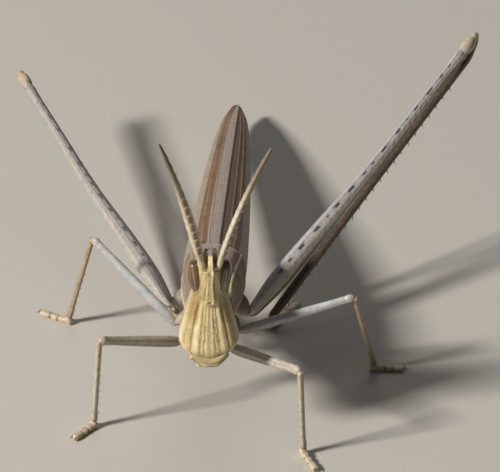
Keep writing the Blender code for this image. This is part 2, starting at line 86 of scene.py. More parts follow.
# %% Camera
view_along = Vector((0.00319, 0.85639, -0.51632))
view_up = Vector((-0.12106, 0.51286, 0.84990))
lens = bpy.data.cameras.new("close_up_lens")
lens.lens = 253
lens.sensor_width = 36
lens.clip_start = 0.01
camera = bpy.data.objects.new("close_up", lens)
camera.matrix_world = (
    Matrix.Translation(mm(1.484, -294.65, 184.718))
    @ Matrix((view_along.cross(view_up), view_up, -view_along)).transposed().to_4x4()
)
bpy.context.scene.collection.objects.link(camera)
bpy.context.scene.camera = camera
print("camera stands", round(camera.location.length, 3), "m from the model")

# %% [markdown]
# ## Light and floor
# Soft lamps stand in for the sun from the left front. A long pale floor bounces light under the
# body.

# %% Floor and lamps
bpy.context.scene.view_settings.view_transform = "Standard"
FLOOR_COLOUR = (0.54, 0.51, 0.46)
LAMP_TARGET = Vector((0, -0.01, 0.015))  # between the head and the hips, in metres


def stage_floor():
    bm = bmesh.new()
    bmesh.ops.create_grid(bm, x_segments=2, y_segments=2, size=3)
    mesh = bpy.data.meshes.new("floor")
    bm.to_mesh(mesh)
    bm.free()
    floor = bpy.data.objects.new("floor", mesh)
    bpy.context.scene.collection.objects.link(floor)
    paper = bpy.data.materials.new("paper")
    paper.use_nodes = True
    shader = paper.node_tree.nodes["Principled BSDF"]
    shader.inputs["Base Color"].default_value = (*FLOOR_COLOUR, 1)
    shader.inputs["Roughness"].default_value = 0.9
    mesh.materials.append(paper)


def lamp(name, place, size, power, colour):
    light = bpy.data.lights.new(name, "AREA")
    light.size = size
    light.energy = power
    light.color = colour
    obj = bpy.data.objects.new(name, light)
    obj.location = place
    towards = LAMP_TARGET - Vector(place)
    obj.rotation_euler = towards.to_track_quat("-Z", "Y").to_euler()
    obj.visible_camera = False
    bpy.context.scene.collection.objects.link(obj)


stage_floor()
lamp("key", (-0.70, -0.53, 0.52), 0.13, 14.5, (1.0, 0.97, 0.92))
lamp("fill", (0.7, -0.6, 0.5), 0.8, 0.05, (0.80, 0.88, 1.0))
lamp("rim", (-0.1, 0.7, 0.7), 0.6, 1.8, (1.0, 0.98, 0.95))
world = bpy.data.worlds.new("studio")
bpy.context.scene.world = world
world.use_nodes = True
world.node_tree.nodes["Background"].inputs["Color"].default_value = (0.78, 0.82, 0.9, 1)
world.node_tree.nodes["Background"].inputs["Strength"].default_value = 0.07

# %% [markdown]
# ## Two frames of reference
# The trunk hangs 9.5 degrees lower at the tail, and the head is pitched on its neck. Each shape
# is worked out in its own frame, where symmetry makes it easy, and then placed.

# %% Body and head frames
trunk_low, trunk_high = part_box("thorax")
TRUNK_START = 2.643 * MM  # the body frame's origin lies this far behind the front of the trunk
TRUNK_HEIGHT = 10.7 * MM
TRUNK_SLOPE, HEAD_PITCH, HEAD_ROLL = -9.5, -51, -9.5  # degrees
body_at = Vector(((trunk_low.x + trunk_high.x) / 2, trunk_low.y + TRUNK_START, TRUNK_HEIGHT))
BODY = Matrix.Translation(body_at) @ Matrix.Rotation(radians(TRUNK_SLOPE), 4, "X")
HEAD = (
    Matrix.Translation(BODY @ mm(0, -4.0, 0))
    @ Matrix.Rotation(radians(HEAD_PITCH), 4, "X")
    @ Matrix.Rotation(radians(HEAD_ROLL), 4, "Y")
)
print("body frame at", [round(c / MM, 2) for c in body_at], "mm")

# %% [markdown]
# ## Curves and masks
# A shape or a marking is a function of how far along a piece a point lies and how far round it.
# `smooth` runs a curve through a few knots. `band` and `step` are soft masks from 0 to 1.

# %% Curves and masks


def smooth(knots, t):
    """A smooth curve through a few (t, value) knots, flat beyond its ends."""
    if t <= knots[0][0]:
        return knots[0][1]
    for i in range(len(knots) - 1):
        (t0, v0), (t1, v1) = knots[i], knots[i + 1]
        if t <= t1:
            before, after = knots[max(i - 1, 0)], knots[min(i + 2, len(knots) - 1)]
            m0 = (v1 - before[1]) / (t1 - before[0]) * (t1 - t0)
            m1 = (after[1] - v0) / (after[0] - t0) * (t1 - t0)
            x = (t - t0) / (t1 - t0)
            ends = v0 * (2 * x**3 - 3 * x**2 + 1) + v1 * (3 * x**2 - 2 * x**3)
            return ends + m0 * (x**3 - 2 * x**2 + x) + m1 * (x**3 - x**2)
    return knots[-1][1]


def step(low, high, x):
    """0 below low, 1 above high, soft between."""
    x = min(max((x - low) / (high - low), 0.0), 1.0)
    return x * x * (3 - 2 * x)


def band(x, middle, half, soft):
    """1 within half of the middle, fading over soft."""
    return 1 - step(half, half + soft, abs(x - middle))


def bump(x, middle, width):
    """A bell of height 1."""
    return exp(-(((x - middle) / width) ** 2))


def rounded(value, power):
    return (abs(value) ** (2 / power)) * (1 if value >= 0 else -1)


def grain(point, size, seed=0.0):
    """Smooth noise between -1 and 1, with features of the given size."""
    return noise.noise(point / size + Vector((seed, 3.7 * seed, -seed)))


def streaks(point, stretch, size, seed):
    """Like grain, but drawn out along the insect. stretch below 1 makes it longer."""
    return grain(Vector((point.x, point.y * stretch, point.z)), size, seed)


def aim(start, direction, up=Vector((0, 0, 1))):
    """A matrix at start whose Y runs along the direction and whose Z leans towards up."""
    along = direction.normalized()
    back = (up - along * up.dot(along)).normalized()
    turned = Matrix((along.cross(back), along, back)).transposed().to_4x4()
    return Matrix.Translation(start) @ turned


def heading(side, back, up):
    """Unit direction turned back from sideways and up from level, in degrees."""
    b, e = radians(back), radians(up)
    return Vector((side * cos(e) * cos(b), cos(e) * sin(b), sin(e)))


print("half way up a step:", step(0, 1, 0.5))

# %% [markdown]
# ## Paint
# Cuticle is coloured in bands and lines that follow the surface. Each point gets its colour from
# named paints, mixed with soft masks, and the shader adds the fine speckle on top.

# %% The paint box


def paint(red, green, blue):
    """An everyday 0-255 colour as linear light."""
    channels = (c / 255 for c in (red, green, blue))
    return Vector([c / 12.92 if c <= 0.04045 else ((c + 0.055) / 1.055) ** 2.4 for c in channels])


def coats(colour, *layers):
    """Lays paints over a colour one after another, each with its strength from 0 to 1."""
    for over, strength in layers:
        colour = colour.lerp(over, strength)
    return colour


STRAW = paint(220, 203, 152)
CREAM = paint(238, 222, 172)
OCHRE = paint(180, 154, 94)
UMBER = paint(122, 92, 58)
DARK = paint(52, 42, 34)
OLIVE = paint(84, 84, 66)
MAUVE = paint(150, 134, 128)
PINKISH = paint(186, 170, 162)
BEIGE = paint(196, 180, 152)
GREY = paint(148, 147, 144)
BLUE_BLACK = paint(46, 50, 60)
PALE_GREY = paint(168, 173, 180)
BROWN = paint(132, 106, 84)
IVORY = paint(206, 198, 178)
print("straw in linear light:", [round(c, 2) for c in STRAW])

# %% [markdown]
# ## A rolled tube
# Nearly every part of an insect is a tube that changes its section along the way. One grid is
# bent round until its edges meet, welded, and closed at both ends. The grid brings its own UV
# map, and attributes keep each point's share along the piece, its turn round it, and its paint.

# %% Rolling and painting


def weld(bm):
    bmesh.ops.remove_doubles(bm, verts=bm.verts, dist=0.002 * MM)
    rims = [edge for edge in bm.edges if edge.is_boundary]
    if rims:
        bmesh.ops.holes_fill(bm, edges=rims)
    bmesh.ops.recalc_face_normals(bm, faces=bm.faces)


def bent_grid(bm, shape, along, around, first=-90.0, last=270.0, ease=None):
    """A grid whose X becomes the share along a piece and whose Y becomes the turn round it."""
    bm.loops.layers.uv.new("lie")
    shares = bm.verts.layers.float.new("share")
    turns = bm.verts.layers.float.new("turn")
    bm.verts.layers.float_color.new("paint")
    bmesh.ops.create_grid(bm, x_segments=along, y_segments=around, size=1, calc_uvs=True)
    for vert in bm.verts:
        share = (vert.co.x + 1) / 2
        vert[shares] = ease(share) if ease else share
        vert[turns] = radians(first + (last - first) * (vert.co.y + 1) / 2)
        vert.co = shape(vert[shares], vert[turns])
    return shares, turns


def emboss_and_paint(bm, shares, turns, relief, colours):
    """Raises each point along its normal by the relief in millimetres, and stores its colour."""
    bm.normal_update()
    if relief:
        raised = [v.co + v.normal * relief(v[shares], v[turns], v.co) * MM for v in bm.verts]
        for vert, place in zip(bm.verts, raised):
            vert.co = place
    store = bm.verts.layers.float_color["paint"]
    for vert in bm.verts:
        vert[store] = (*colours(vert[shares], vert[turns], vert.co), 1)


def rolled(shape, along, around, colours, relief=None, ease=None):
    """A closed, painted tube as a bmesh."""
    bm = bmesh.new()
    shares, turns = bent_grid(bm, shape, along, around, ease=ease)
    weld(bm)
    emboss_and_paint(bm, shares, turns, relief, colours)
    return bm


def domed(share):
    """Packs the grid's lines closer together near both ends, where a tube closes."""
    return share - sin(2 * pi * share) / (2 * pi) * 0.85


def cap(t, end):
    """Rounds a tube off over its last stretch at both ends."""
    near = min(t, 1 - t) / end
    return 1.0 if near >= 1 else sqrt(max(1 - (1 - near) ** 2, 0.0))


def add_piece(name, bm, finish, slot, *nodes):
    """Turns a bmesh into a smooth piece that stands for the CAD nodes."""
    mesh = bpy.data.meshes.new(name)
    bm.to_mesh(mesh)
    bm.free()
    mesh.shade_smooth()
    obj = bpy.data.objects.new(name, mesh)
    bpy.context.scene.collection.objects.link(obj)
    mesh.materials.append(finish)
    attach(obj, "root")
    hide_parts(*nodes)
    return obj


print("a tube's grid lines crowd its ends:", [round(domed(i / 10), 3) for i in range(4)])

# %% [markdown]
# ## Cuticle
# Insect shell is a thin waxy plate with pits, pores and cloudy pigment. The pigment comes from
# the painted attribute. A shared node group mottles it, peppers it with pores and gives it a
# fine relief. It is built once, and each finish sets its own strengths.

# %% The cuticle group


def node(tree, kind, values=None, **settings):
    """A shader node. A value that is another node's output is linked in, and any other is set."""
    made = tree.nodes.new(kind)
    for key, value in settings.items():
        setattr(made, key, value)
    for key, value in (values or {}).items():
        feed(tree, made.inputs[key], value)
    return made


def feed(tree, socket, value):
    if isinstance(value, bpy.types.NodeSocket):
        tree.links.new(value, socket)
    else:
        socket.default_value = value


def cuticle_group():
    group = bpy.data.node_groups.new("cuticle", "ShaderNodeTree")
    for name, kind, value in (
        ("Colour", "NodeSocketColor", (0.5, 0.4, 0.3, 1)),
        ("Mottle", "NodeSocketFloat", 0.3),
        ("Pores", "NodeSocketFloat", 0.5),
        ("Pore Scale", "NodeSocketFloat", 2600.0),
        ("Shine", "NodeSocketFloat", 0.4),
    ):
        group.interface.new_socket(name, in_out="INPUT", socket_type=kind).default_value = value
    group.interface.new_socket("Colour", in_out="OUTPUT", socket_type="NodeSocketColor")
    group.interface.new_socket("Roughness", in_out="OUTPUT", socket_type="NodeSocketFloat")
    group.interface.new_socket("Height", in_out="OUTPUT", socket_type="NodeSocketFloat")
    given, result = node(group, "NodeGroupInput").outputs, node(group, "NodeGroupOutput").inputs
    place = node(group, "ShaderNodeTexCoord").outputs["Object"]
    values = {"Vector": place, "Scale": 1500.0, "Detail": 4.0, "Roughness": 0.65}
    cloud = node(group, "ShaderNodeTexNoise", values).outputs["Fac"]
    values = {"Vector": place, "Scale": 9000.0, "Detail": 3.0}
    fine = node(group, "ShaderNodeTexNoise", values).outputs["Fac"]
    values = {"Vector": place, "Scale": given["Pore Scale"], "Randomness": 1.0}
    pores = node(group, "ShaderNodeTexVoronoi", values).outputs

    def ranged(value, low, high, first, last):
        ends = {"Value": value, "From Min": low, "From Max": high, "To Min": first, "To Max": last}
        return node(group, "ShaderNodeMapRange", ends).outputs["Result"]

    def maths(operation, *values):
        made = node(group, "ShaderNodeMath", dict(enumerate(values)), operation=operation)
        return made.outputs["Value"]

    def mixed(factor, under, over):
        values = {"Factor": factor, "A": under, "B": over}
        return node(group, "ShaderNodeMix", values, data_type="RGBA").outputs["Result"]

    tone = maths("MULTIPLY", ranged(cloud, 0.3, 0.7, 0.72, 1.16), ranged(fine, 0.3, 0.7, 0.86, 1.1))
    values = {0: given["Colour"], "Scale": tone}
    toned = node(group, "ShaderNodeVectorMath", values, operation="SCALE")
    mottled = mixed(given["Mottle"], given["Colour"], toned.outputs["Vector"])
    hole = ranged(pores["Distance"], 0.06, 0.2, 1.0, 0.0)
    chosen = ranged(pores["Color"], 0.5, 0.85, 0.0, 1.0)
    pored = maths("MULTIPLY", maths("MULTIPLY", hole, chosen), given["Pores"])
    feed(group, result["Colour"], mixed(pored, mottled, (0.055, 0.05, 0.035, 1)))
    feed(group, result["Roughness"], maths("MULTIPLY_ADD", fine, 0.35, given["Shine"]))
    feed(group, result["Height"], maths("SUBTRACT", fine, pored))
    return group


CUTICLE = cuticle_group()
print("cuticle group has", len(CUTICLE.nodes), "nodes")

# %% Finishes from the group


def cuticle_finish(name, mottle, pores, pore_scale, shine, relief, coat=0.0):
    """A finish that reads the painted attribute. shine is the lowest roughness."""
    material = bpy.data.materials.new(name)
    material.use_nodes = True
    tree = material.node_tree
    shader = tree.nodes["Principled BSDF"]
    shader.inputs["Specular IOR Level"].default_value = 0.45
    shader.inputs["Coat Weight"].default_value = coat
    shader.inputs["Coat Roughness"].default_value = 0.18
    colour = node(tree, "ShaderNodeAttribute", attribute_name="paint").outputs["Color"]
    values = {"Colour": colour, "Mottle": mottle, "Pores": pores}
    values |= {"Pore Scale": pore_scale, "Shine": shine}
    cuticle = node(tree, "ShaderNodeGroup", values, node_tree=CUTICLE)
    feed(tree, shader.inputs["Base Color"], cuticle.outputs["Colour"])
    feed(tree, shader.inputs["Roughness"], cuticle.outputs["Roughness"])
    bump_values = {"Strength": 0.5, "Distance": relief * MM, "Height": cuticle.outputs["Height"]}
    feed(tree, shader.inputs["Normal"], node(tree, "ShaderNodeBump", bump_values).outputs["Normal"])
    return material


FACE = cuticle_finish("face_cuticle", 0.6, 0.8, 2300.0, 0.22, 0.045, coat=0.12)
BODY_SHELL = cuticle_finish("body_cuticle", 0.8, 0.5, 2600.0, 0.28, 0.04)
LEG_SHELL = cuticle_finish("leg_cuticle", 0.7, 0.45, 3000.0, 0.22, 0.02, coat=0.1)
FEELER_SHELL = cuticle_finish("feeler_cuticle", 0.7, 0.35, 5200.0, 0.35, 0.02)
print("finishes:", [m.name for m in bpy.data.materials])

# %% [markdown]
# ## The head
# The head is a cone: its face slopes back from a tip between the feelers down to the mouth. The
# capsule is one tube along the crown. On its lower side run the raised double keel with the
# middle eye, the wrinkled ridges that spread towards the mouth, and a dark furrow under each
# eye.

# %% Head capsule
CROWN_Y = ((0, 0.1), (0.3, -3.4), (0.95, -12.2), (1, -13.25))
CROWN_Z = ((0, 3.35), (0.15, 3.55), (0.5, 3.45), (0.85, 3.35), (1, 3.32))
FRONT_Y = (
    (0, 2.7), (0.1, 1.1), (0.2, -0.9), (0.3, -2.5), (0.4, -3.9), (0.65, -7.2), (0.95, -12.15),
    (1, -13.2),
)
FRONT_Z = (
    (0, -1.3), (0.1, -2.5), (0.2, -3.4), (0.3, -3.58), (0.4, -2.5), (0.65, -0.1), (0.88, 1.5),
    (1, 2.45),
)
HEAD_HALF = (
    (0, 2.1), (0.1, 2.4), (0.27, 2.75), (0.4, 2.35), (0.6, 1.55), (0.76, 1.15), (0.9, 0.76),
    (1, 0.6),
)
EYE_RADII = Vector((0.8, 2.05, 1.1))
EYE_AT = Vector((1.2, -8.68, 1.97))
FEELER_ROOT = Vector((0.68, -11.2, 1.75))
FACE_LENGTH = 14.5  # millimetres from neck to tip, for lines that run along the face
HEAD_SQUARE = 2.35  # the power of the section: 2 is an oval, more is squarer


def head_shape(t, turn):
    top = Vector((0, smooth(CROWN_Y, t), smooth(CROWN_Z, t)))
    low = Vector((0, smooth(FRONT_Y, t), smooth(FRONT_Z, t)))
    middle = low + (top - low) * smooth(((0, 0.5), (0.3, 0.3), (0.7, 0.42), (1, 0.5)), t)
    up = rounded(sin(turn), HEAD_SQUARE)
    side = rounded(cos(turn), HEAD_SQUARE) * smooth(HEAD_HALF, t) * (1 - 0.32 * max(up, 0))
    nose = cap(t / 2 + 0.5, 0.012)
    lift = (top - middle) * up if up > 0 else (low - middle) * -up
    # over the mouth the lower rim is curved like a U
    curve = 0.45 * min((side / 1.8) ** 2, 1.2) - 0.18 * bump(side, 0, 1.0)
    rim = step(0.35, 0.2, t) * max(-up, 0) * curve
    return HEAD @ ((middle + lift * nose + Vector((side * nose, -0.14 * (1 - nose), rim))) * MM)


def mirrored(place, side):
    """A place given for the left side, moved to the side asked for."""
    return Vector((side * place.x, place.y, place.z))


def eye_frame(side):
    centre = mirrored(EYE_AT, side) * MM
    turned = Matrix.Rotation(radians(-18), 4, "X") @ Matrix.Rotation(side * radians(8), 4, "Z")
    return HEAD @ Matrix.Translation(centre) @ turned


HEAD_INVERSE = HEAD.inverted()
EYE_INVERSES = {side: eye_frame(side).inverted() for side in (LEFT, RIGHT)}


def eye_distance(point):
    """How far a point lies outside the nearer eye, as a share of the eye's own size."""
    side = LEFT if (HEAD_INVERSE @ point).x > 0 else RIGHT
    local = EYE_INVERSES[side] @ point / MM
    return Vector([local[i] / EYE_RADII[i] for i in range(3)]).length - 1


KEEL_HALF = ((0.62, 0.42), (0.665, 0.4), (0.72, 0.3), (0.8, 0.2), (0.9, 0.2), (0.97, 0.14))
KEEL_TALL = ((0.625, 0.0), (0.645, 0.28), (0.75, 0.44), (0.88, 0.5), (0.95, 0.42), (0.985, 0.05))
MIDDLE_EYE = 0.668  # share of the way from the neck to the tip
# ridges (raised) and furrows (sunk) that fan out under the middle eye, each with its share across,
# its width and its height in millimetres
RIDGES = ((0.115, 0.035, 0.02), (0.26, 0.03, 0.01), (0.5, 0.1, 0.06), (0.8, 0.06, 0.045))
FURROWS = (
    (0.0, 0.05, 0.02), (0.195, 0.018, 0.022), (0.345, 0.018, 0.028), (0.685, 0.034, 0.07),
    (0.905, 0.022, 0.03),
)


def face_place(t, turn, point):
    """Where a point of the head lies: share across, share of the front, place in the head frame."""
    local = HEAD_INVERSE @ point / MM
    return abs(rounded(cos(turn), HEAD_SQUARE)), step(0.15, -0.25, sin(turn)), local


def wander(t, side, seed):
    """How far a line strays from its straight course."""
    return 0.035 * grain(Vector((seed, t * 13, 2.0 if side > 0 else -2.0)), 1.0)


def fan(t, u, side, lines):
    """The strengths of a set of ridges or furrows at one point of the face."""
    return [bump(u + wander(t, side, place * 40), place, width) for place, width, _ in lines]


def creases(t, local, u):
    """Fine looping wrinkles between the middle and the broad ridges, from 0 to 1."""
    curl = grain(Vector((local.x, t * FACE_LENGTH * 0.24, 0)), 0.16, 5.0)
    lines = band(curl, 0, 0.05, 0.13) * band(u, 0.27, 0.1, 0.07)
    return lines * step(0.24, 0.3, t) * step(0.6, 0.5, t)


def socket_distance(local):
    """How far a point lies from the root of the nearer feeler, in millimetres."""
    return min((local - mirrored(FEELER_ROOT, side)).length for side in (LEFT, RIGHT))


def middle_eye_distance(t, local):
    """How far a point lies from the middle eye, an oval wider than it is high."""
    return sqrt((local.x / 0.17) ** 2 + ((t - MIDDLE_EYE) * FACE_LENGTH / 0.085) ** 2)


def keel(t, local):
    """How much a point is on the raised keel between the eyes, and on its steep sides."""
    half = smooth(KEEL_HALF, t)
    tip = 1 - 0.9 * step(0.03, 0.0, t - 0.625)  # the keel ends in a round tongue
    top = 1 - step(half * tip, half * tip + 0.09, abs(local.x))
    return top * step(0.622, 0.64, t), abs(local.x) / half


def hollow(t, local):
    """The pits on both sides of the keel, under the tip of the head."""
    return band(abs(local.x), 0.4, 0.13, 0.1) * band(t, 0.945, 0.025, 0.02)


def mouth_rim(u):
    """How far along the head the raised rim over the mouth lies."""
    return 0.22 + 0.09 * u * u


def head_relief(t, turn, point):
    u, front, local = face_place(t, turn, point)
    under = front * step(0.66, 0.6, t) * step(0.24, 0.4, t)
    height = 0.0
    if front > 0:
        for strength, (_, _, tall) in zip(fan(t, u, local.x, RIDGES), RIDGES):
            height += under * strength * tall
        for strength, (_, _, deep) in zip(fan(t, u, local.x, FURROWS), FURROWS):
            height -= under * strength * deep
        on_keel, across = keel(t, local)
        height += front * on_keel * smooth(KEEL_TALL, t)
        height -= 0.025 * front * on_keel * band(across, 0, 0.4, 0.3) * step(0.95, 0.85, t)
        height -= front * (0.022 * creases(t, local, u) + 0.3 * hollow(t, local))
        spread = middle_eye_distance(t, local)
        height += front * (0.035 * bump(spread, 1.5, 0.4) - 0.12 * step(1.25, 0.7, spread))
        rim = mouth_rim(u)
        height += front * (0.07 * bump(t, rim + 0.015, 0.012) - 0.08 * bump(t, rim - 0.012, 0.01))
    height += 0.07 * bump(eye_distance(point), 0.04, 0.07)
    height += 0.1 * bump(socket_distance(local), 0.5, 0.1)
    if sin(turn) > 0:
        height += 0.05 * bump(local.x, 0, 0.07) * step(0.2, 0.4, t) * step(0.9, 0.8, t)
        height += 0.07 * bump(u, 0.86, 0.07) * step(0.74, 0.84, t)
        # the tip is scooped out above
        height -= 0.3 * step(0.86, 0.95, t) * band(local.x, 0, 0.2, 0.3)
    return height + 0.012 * grain(point, 0.22 * MM)


def head_paint(t, turn, point):
    u, front, local = face_place(t, turn, point)
    side = local.x
    cloud, fleck = grain(point, 0.9 * MM, 2.0), grain(point, 0.2 * MM, 2.0)
    under = front * step(0.66, 0.6, t)
    inner, island, broad, _ = fan(t, u, side, RIDGES)
    middle, line_a, line_b, furrow, edge_line = fan(t, u, side, FURROWS)
    colour = STRAW.lerp(OCHRE, 0.3 + 0.2 * cloud + 0.1 * fleck)
    colour = colour.lerp(CREAM, under * (0.85 * broad + 0.6 * inner + 0.45 * island))
    colour = colour.lerp(OCHRE.lerp(UMBER, 0.4), 0.42 * front * band(u, 0.87, 0.09, 0.08))
    # the cheeks under the eyes are browner, and finely pitted
    cheek = front * step(0.5, 0.62, u) * step(0.44, 0.54, t) * step(0.74, 0.66, t)
    pits = step(0.1, 0.4, grain(point, 0.11 * MM, 21.0))
    colour = colour.lerp(OCHRE.lerp(UMBER, 0.35 + 0.3 * fleck), 0.85 * cheek)
    colour = colour.lerp(UMBER, 0.5 * cheek * pits)
    colour = colour.lerp(OLIVE, 0.26 * front * step(0.38, 0.28, t) * band(u, 0, 0.4, 0.3))
    colour = colour.lerp(GREY.lerp(OCHRE, 0.5), 0.5 * under * middle)
    fade = 0.65 + 0.5 * grain(Vector((u * 9, t * 16, side)), 1.0, 7.0)
    lines = max(0.8 * line_a, 0.9 * line_b, 1.0 * creases(t, local, u))
    colour = coats(
        colour,
        (UMBER, min(under * lines * fade, 1.0)),
        (UMBER, 0.6 * under * furrow),
        (UMBER.lerp(GREY, 0.4), 0.55 * under * edge_line),
        (PALE_GREY.lerp(CREAM, 0.4), 0.6 * under * step(0.93, 0.98, u) * step(0.5, 0.35, t)),
    )
    rim = mouth_rim(u)
    colour = colour.lerp(UMBER, 0.6 * front * bump(t, rim - 0.012, 0.012))
    colour = colour.lerp(CREAM, 0.5 * front * bump(t, rim + 0.02, 0.014))
    # between the eyes: the pale keel, its shallow groove and the middle eye
    on_keel, across = keel(t, local)
    beside = front * step(0.64, 0.68, t) * (1 - on_keel)
    streak = step(0.05, 0.5, grain(Vector((side * 11, t * 12, 0)), 1.0, 9.0))
    groove = front * on_keel * band(across, 0, 0.3, 0.3) * step(0.8, 0.7, t)
    colour = coats(
        colour,
        # beside the keel: brown streaks of its own, and a browner band at the keel's foot that is
        # painted shade
        (UMBER, beside * (0.4 * band(across, 1.4, 0.2, 0.4) + 0.35 * streak)),
        (CREAM, front * on_keel * (0.35 + 0.4 * bump(across, 0.85, 0.25))),
        (OCHRE.lerp(UMBER, 0.3), 0.3 * groove),
        (CREAM, 0.6 * front * on_keel * step(0.86, 0.93, t)),
    )
    spread = middle_eye_distance(t, local)
    colour = colour.lerp(CREAM, 0.7 * front * bump(spread, 1.7, 0.4))
    colour = colour.lerp(DARK, 0.9 * front * step(1.3, 0.75, spread))
    socket = socket_distance(local)
    colour = coats(
        colour,
        (CREAM, 0.5 * bump(socket, 0.52, 0.09)),
        (DARK, 0.6 * bump(socket, 0.38, 0.06)),
        # the pits beside the keel under the tip are painted dark: painted shade in the hollows
        (UMBER.lerp(DARK, 0.3), 0.7 * front * hollow(t, local)),
        (UMBER, 0.5 * bump(eye_distance(point), 0.03, 0.04)),
    )
    up = sin(turn)
    if up > 0.05:
        crown = MAUVE.lerp(PINKISH, 0.5 * bump(side, 0, 0.4))
        crown = crown.lerp(BROWN, 0.5 * bump(abs(side), 0.95, 0.3))
        crown = crown.lerp(CREAM, 0.85 * band(turn_share(turn), 0.72, 0.06, 0.08))
        colour = colour.lerp(crown, step(0.05, 0.3, up))
        colour = colour.lerp(BROWN, 0.7 * bump(turn_share(turn), 0.86, 0.05) * step(0.62, 0.5, t))
    # the blunt tip is mauve with blue-black corners, and the dark line under its rim is painted
    # shadow
    tip = step(0.98, 0.99, t)
    colour = colour.lerp(MAUVE.lerp(GREY, 0.3 + 0.4 * fleck), tip)
    painted_rim_shadow = step(0.97, 0.98, t) * bump(local.z, 2.5, 0.1) * step(0.12, 0.2, abs(side))
    colour = colour.lerp(DARK, 0.8 * painted_rim_shadow)
    corner = bump(abs(side), 0.52, 0.08) * bump(local.z, 2.95, 0.14)
    return colour.lerp(BLUE_BLACK, 0.85 * tip * corner)


def turn_share(turn):
    """0 at the top of the back, 1 at the widest place, on either side."""
    return abs((turn + pi / 2) % (2 * pi) - pi) / (pi / 2)


def head_ease(share):
    """More grid lines on the fine tip than on the broad back."""
    return share + 0.06 * sin(pi * share)


capsule = rolled(head_shape, 300, 260, head_paint, head_relief, ease=head_ease)
cut_at, cut_facing = BODY @ mm(0, -2.05, 0), BODY.to_3x3() @ Vector((0, 1, 0))
everything = [*capsule.verts, *capsule.edges, *capsule.faces]
bmesh.ops.bisect_plane(
    capsule, geom=everything, plane_co=cut_at, plane_no=cut_facing, clear_outer=True
)
weld(capsule)
add_piece("head_capsule", capsule, FACE, "face", "head")
print("head capsule done")

# %% [markdown]
# ## Compound eyes
# The eyes are long glossy ovals near the tip, sunk to half their width. Dark stripes run along
# them. A tube that closes to a point at both ends gives the lens-like shape and a UV map along
# the stripes.

# %% Eyes


def eye_shape(side):
    place = eye_frame(side)

    def shape(t, turn):
        reach = sin(pi * t)
        x, y, z = EYE_RADII
        return place @ mm(side * cos(turn) * reach * x, -cos(pi * t) * y, sin(turn) * reach * z)

    return shape


def eye_paint(t, turn, point):
    stray = 0.05 * grain(Vector((turn * 2, 4 * t, 0)), 0.5)
    shade = 0.5 + 0.5 * grain(Vector((turn * 4, 0, 0)), 0.5, 3.0)
    colour = BROWN.lerp(UMBER, 0.65 + 0.35 * shade)
    lines = step(0.0, 0.6, sin(15 * turn + 14 * stray)) * (0.7 + 0.3 * shade)
    return coats(
        colour,
        (DARK, 0.95 * lines),
        (BEIGE, 0.35 * step(0.88, 0.98, sin(5 * turn + 2.6 + 6 * stray))),
        (DARK, 0.8 * step(0.82, 0.96, t) + 0.7 * bump(t, 0.0, 0.09)),
    )


EYE_GLOSS = cuticle_finish("eye_gloss", 0.4, 0.0, 3000.0, 0.08, 0.004, coat=0.4)
for name, side in SIDES.items():
    dome = rolled(eye_shape(side), 80, 200, eye_paint)
    add_piece(f"eye_dome_{name}", dome, EYE_GLOSS, "eye", f"eye_{name}")
print("two eyes,", EYE_RADII.y * 2, "mm long")

# %% [markdown]
# ## Feelers
# A feeler is a sword of fifteen flat joints. A low ridge along its front parts a pale outer face
# from a brown inner one. One tube carries it all: joints and ridge are its relief, the blocks
# are paint.

# %% Feelers
FEELER_LENGTH = 16.0
FEELER_AIM = {"left": (-50, 71), "right": (-41, 66)}
BLADE_TURN = {"left": 84, "right": -12}
FEELER_WIDTH = (
    (0, 0.5), (0.04, 0.74), (0.075, 0.6), (0.12, 0.78), (0.26, 1.0), (0.45, 0.9), (0.7, 0.62),
    (0.93, 0.38), (1, 0.2),
)
FEELER_THICK = (
    (0, 0.5), (0.04, 0.66), (0.075, 0.54), (0.14, 0.56), (0.3, 0.58), (0.6, 0.5), (0.93, 0.32),
    (1, 0.2),
)
JOINTS = 15


def feeler_shape(name, side):
    root = HEAD @ (mirrored(FEELER_ROOT, side) * MM)
    place = aim(root, heading(side, *FEELER_AIM[name]), up=Vector((0, -1, 0)))
    turned = Matrix.Rotation(radians(BLADE_TURN[name]), 4, "Y")

    def shape(t, turn):
        close = cap(t, 0.012)
        half, depth = smooth(FEELER_WIDTH, t) / 2 * close, smooth(FEELER_THICK, t) / 2 * close
        flat = step(0.06, 0.16, t)
        ridge = 1 + 0.28 * flat * bump(sin(turn), 1, 0.25)
        ridge -= 0.12 * flat * bump(sin(turn), 0.55, 0.3)
        bow = side * 1.3 * (t * t - t)
        x, z = rounded(cos(turn), 1.9) * half, rounded(sin(turn), 1.9) * depth * ridge
        local = turned @ Vector((x, 0, z))
        return place @ ((local + Vector((bow, t * FEELER_LENGTH, 0))) * MM)

    return shape


def joint_place(t):
    """Where a point lies within its joint, from 0 to 1. Joints grow a little towards the tip."""
    return (t * JOINTS * (1.12 - 0.12 * t)) % 1.0


def feeler_relief(t, turn, point):
    swell = 0.03 * bump(joint_place(t), 0.5, 0.2) * step(0.07, 0.1, t) * step(1.0, 0.9, t)
    return swell - 0.012 + 0.006 * grain(point, 0.15 * MM)


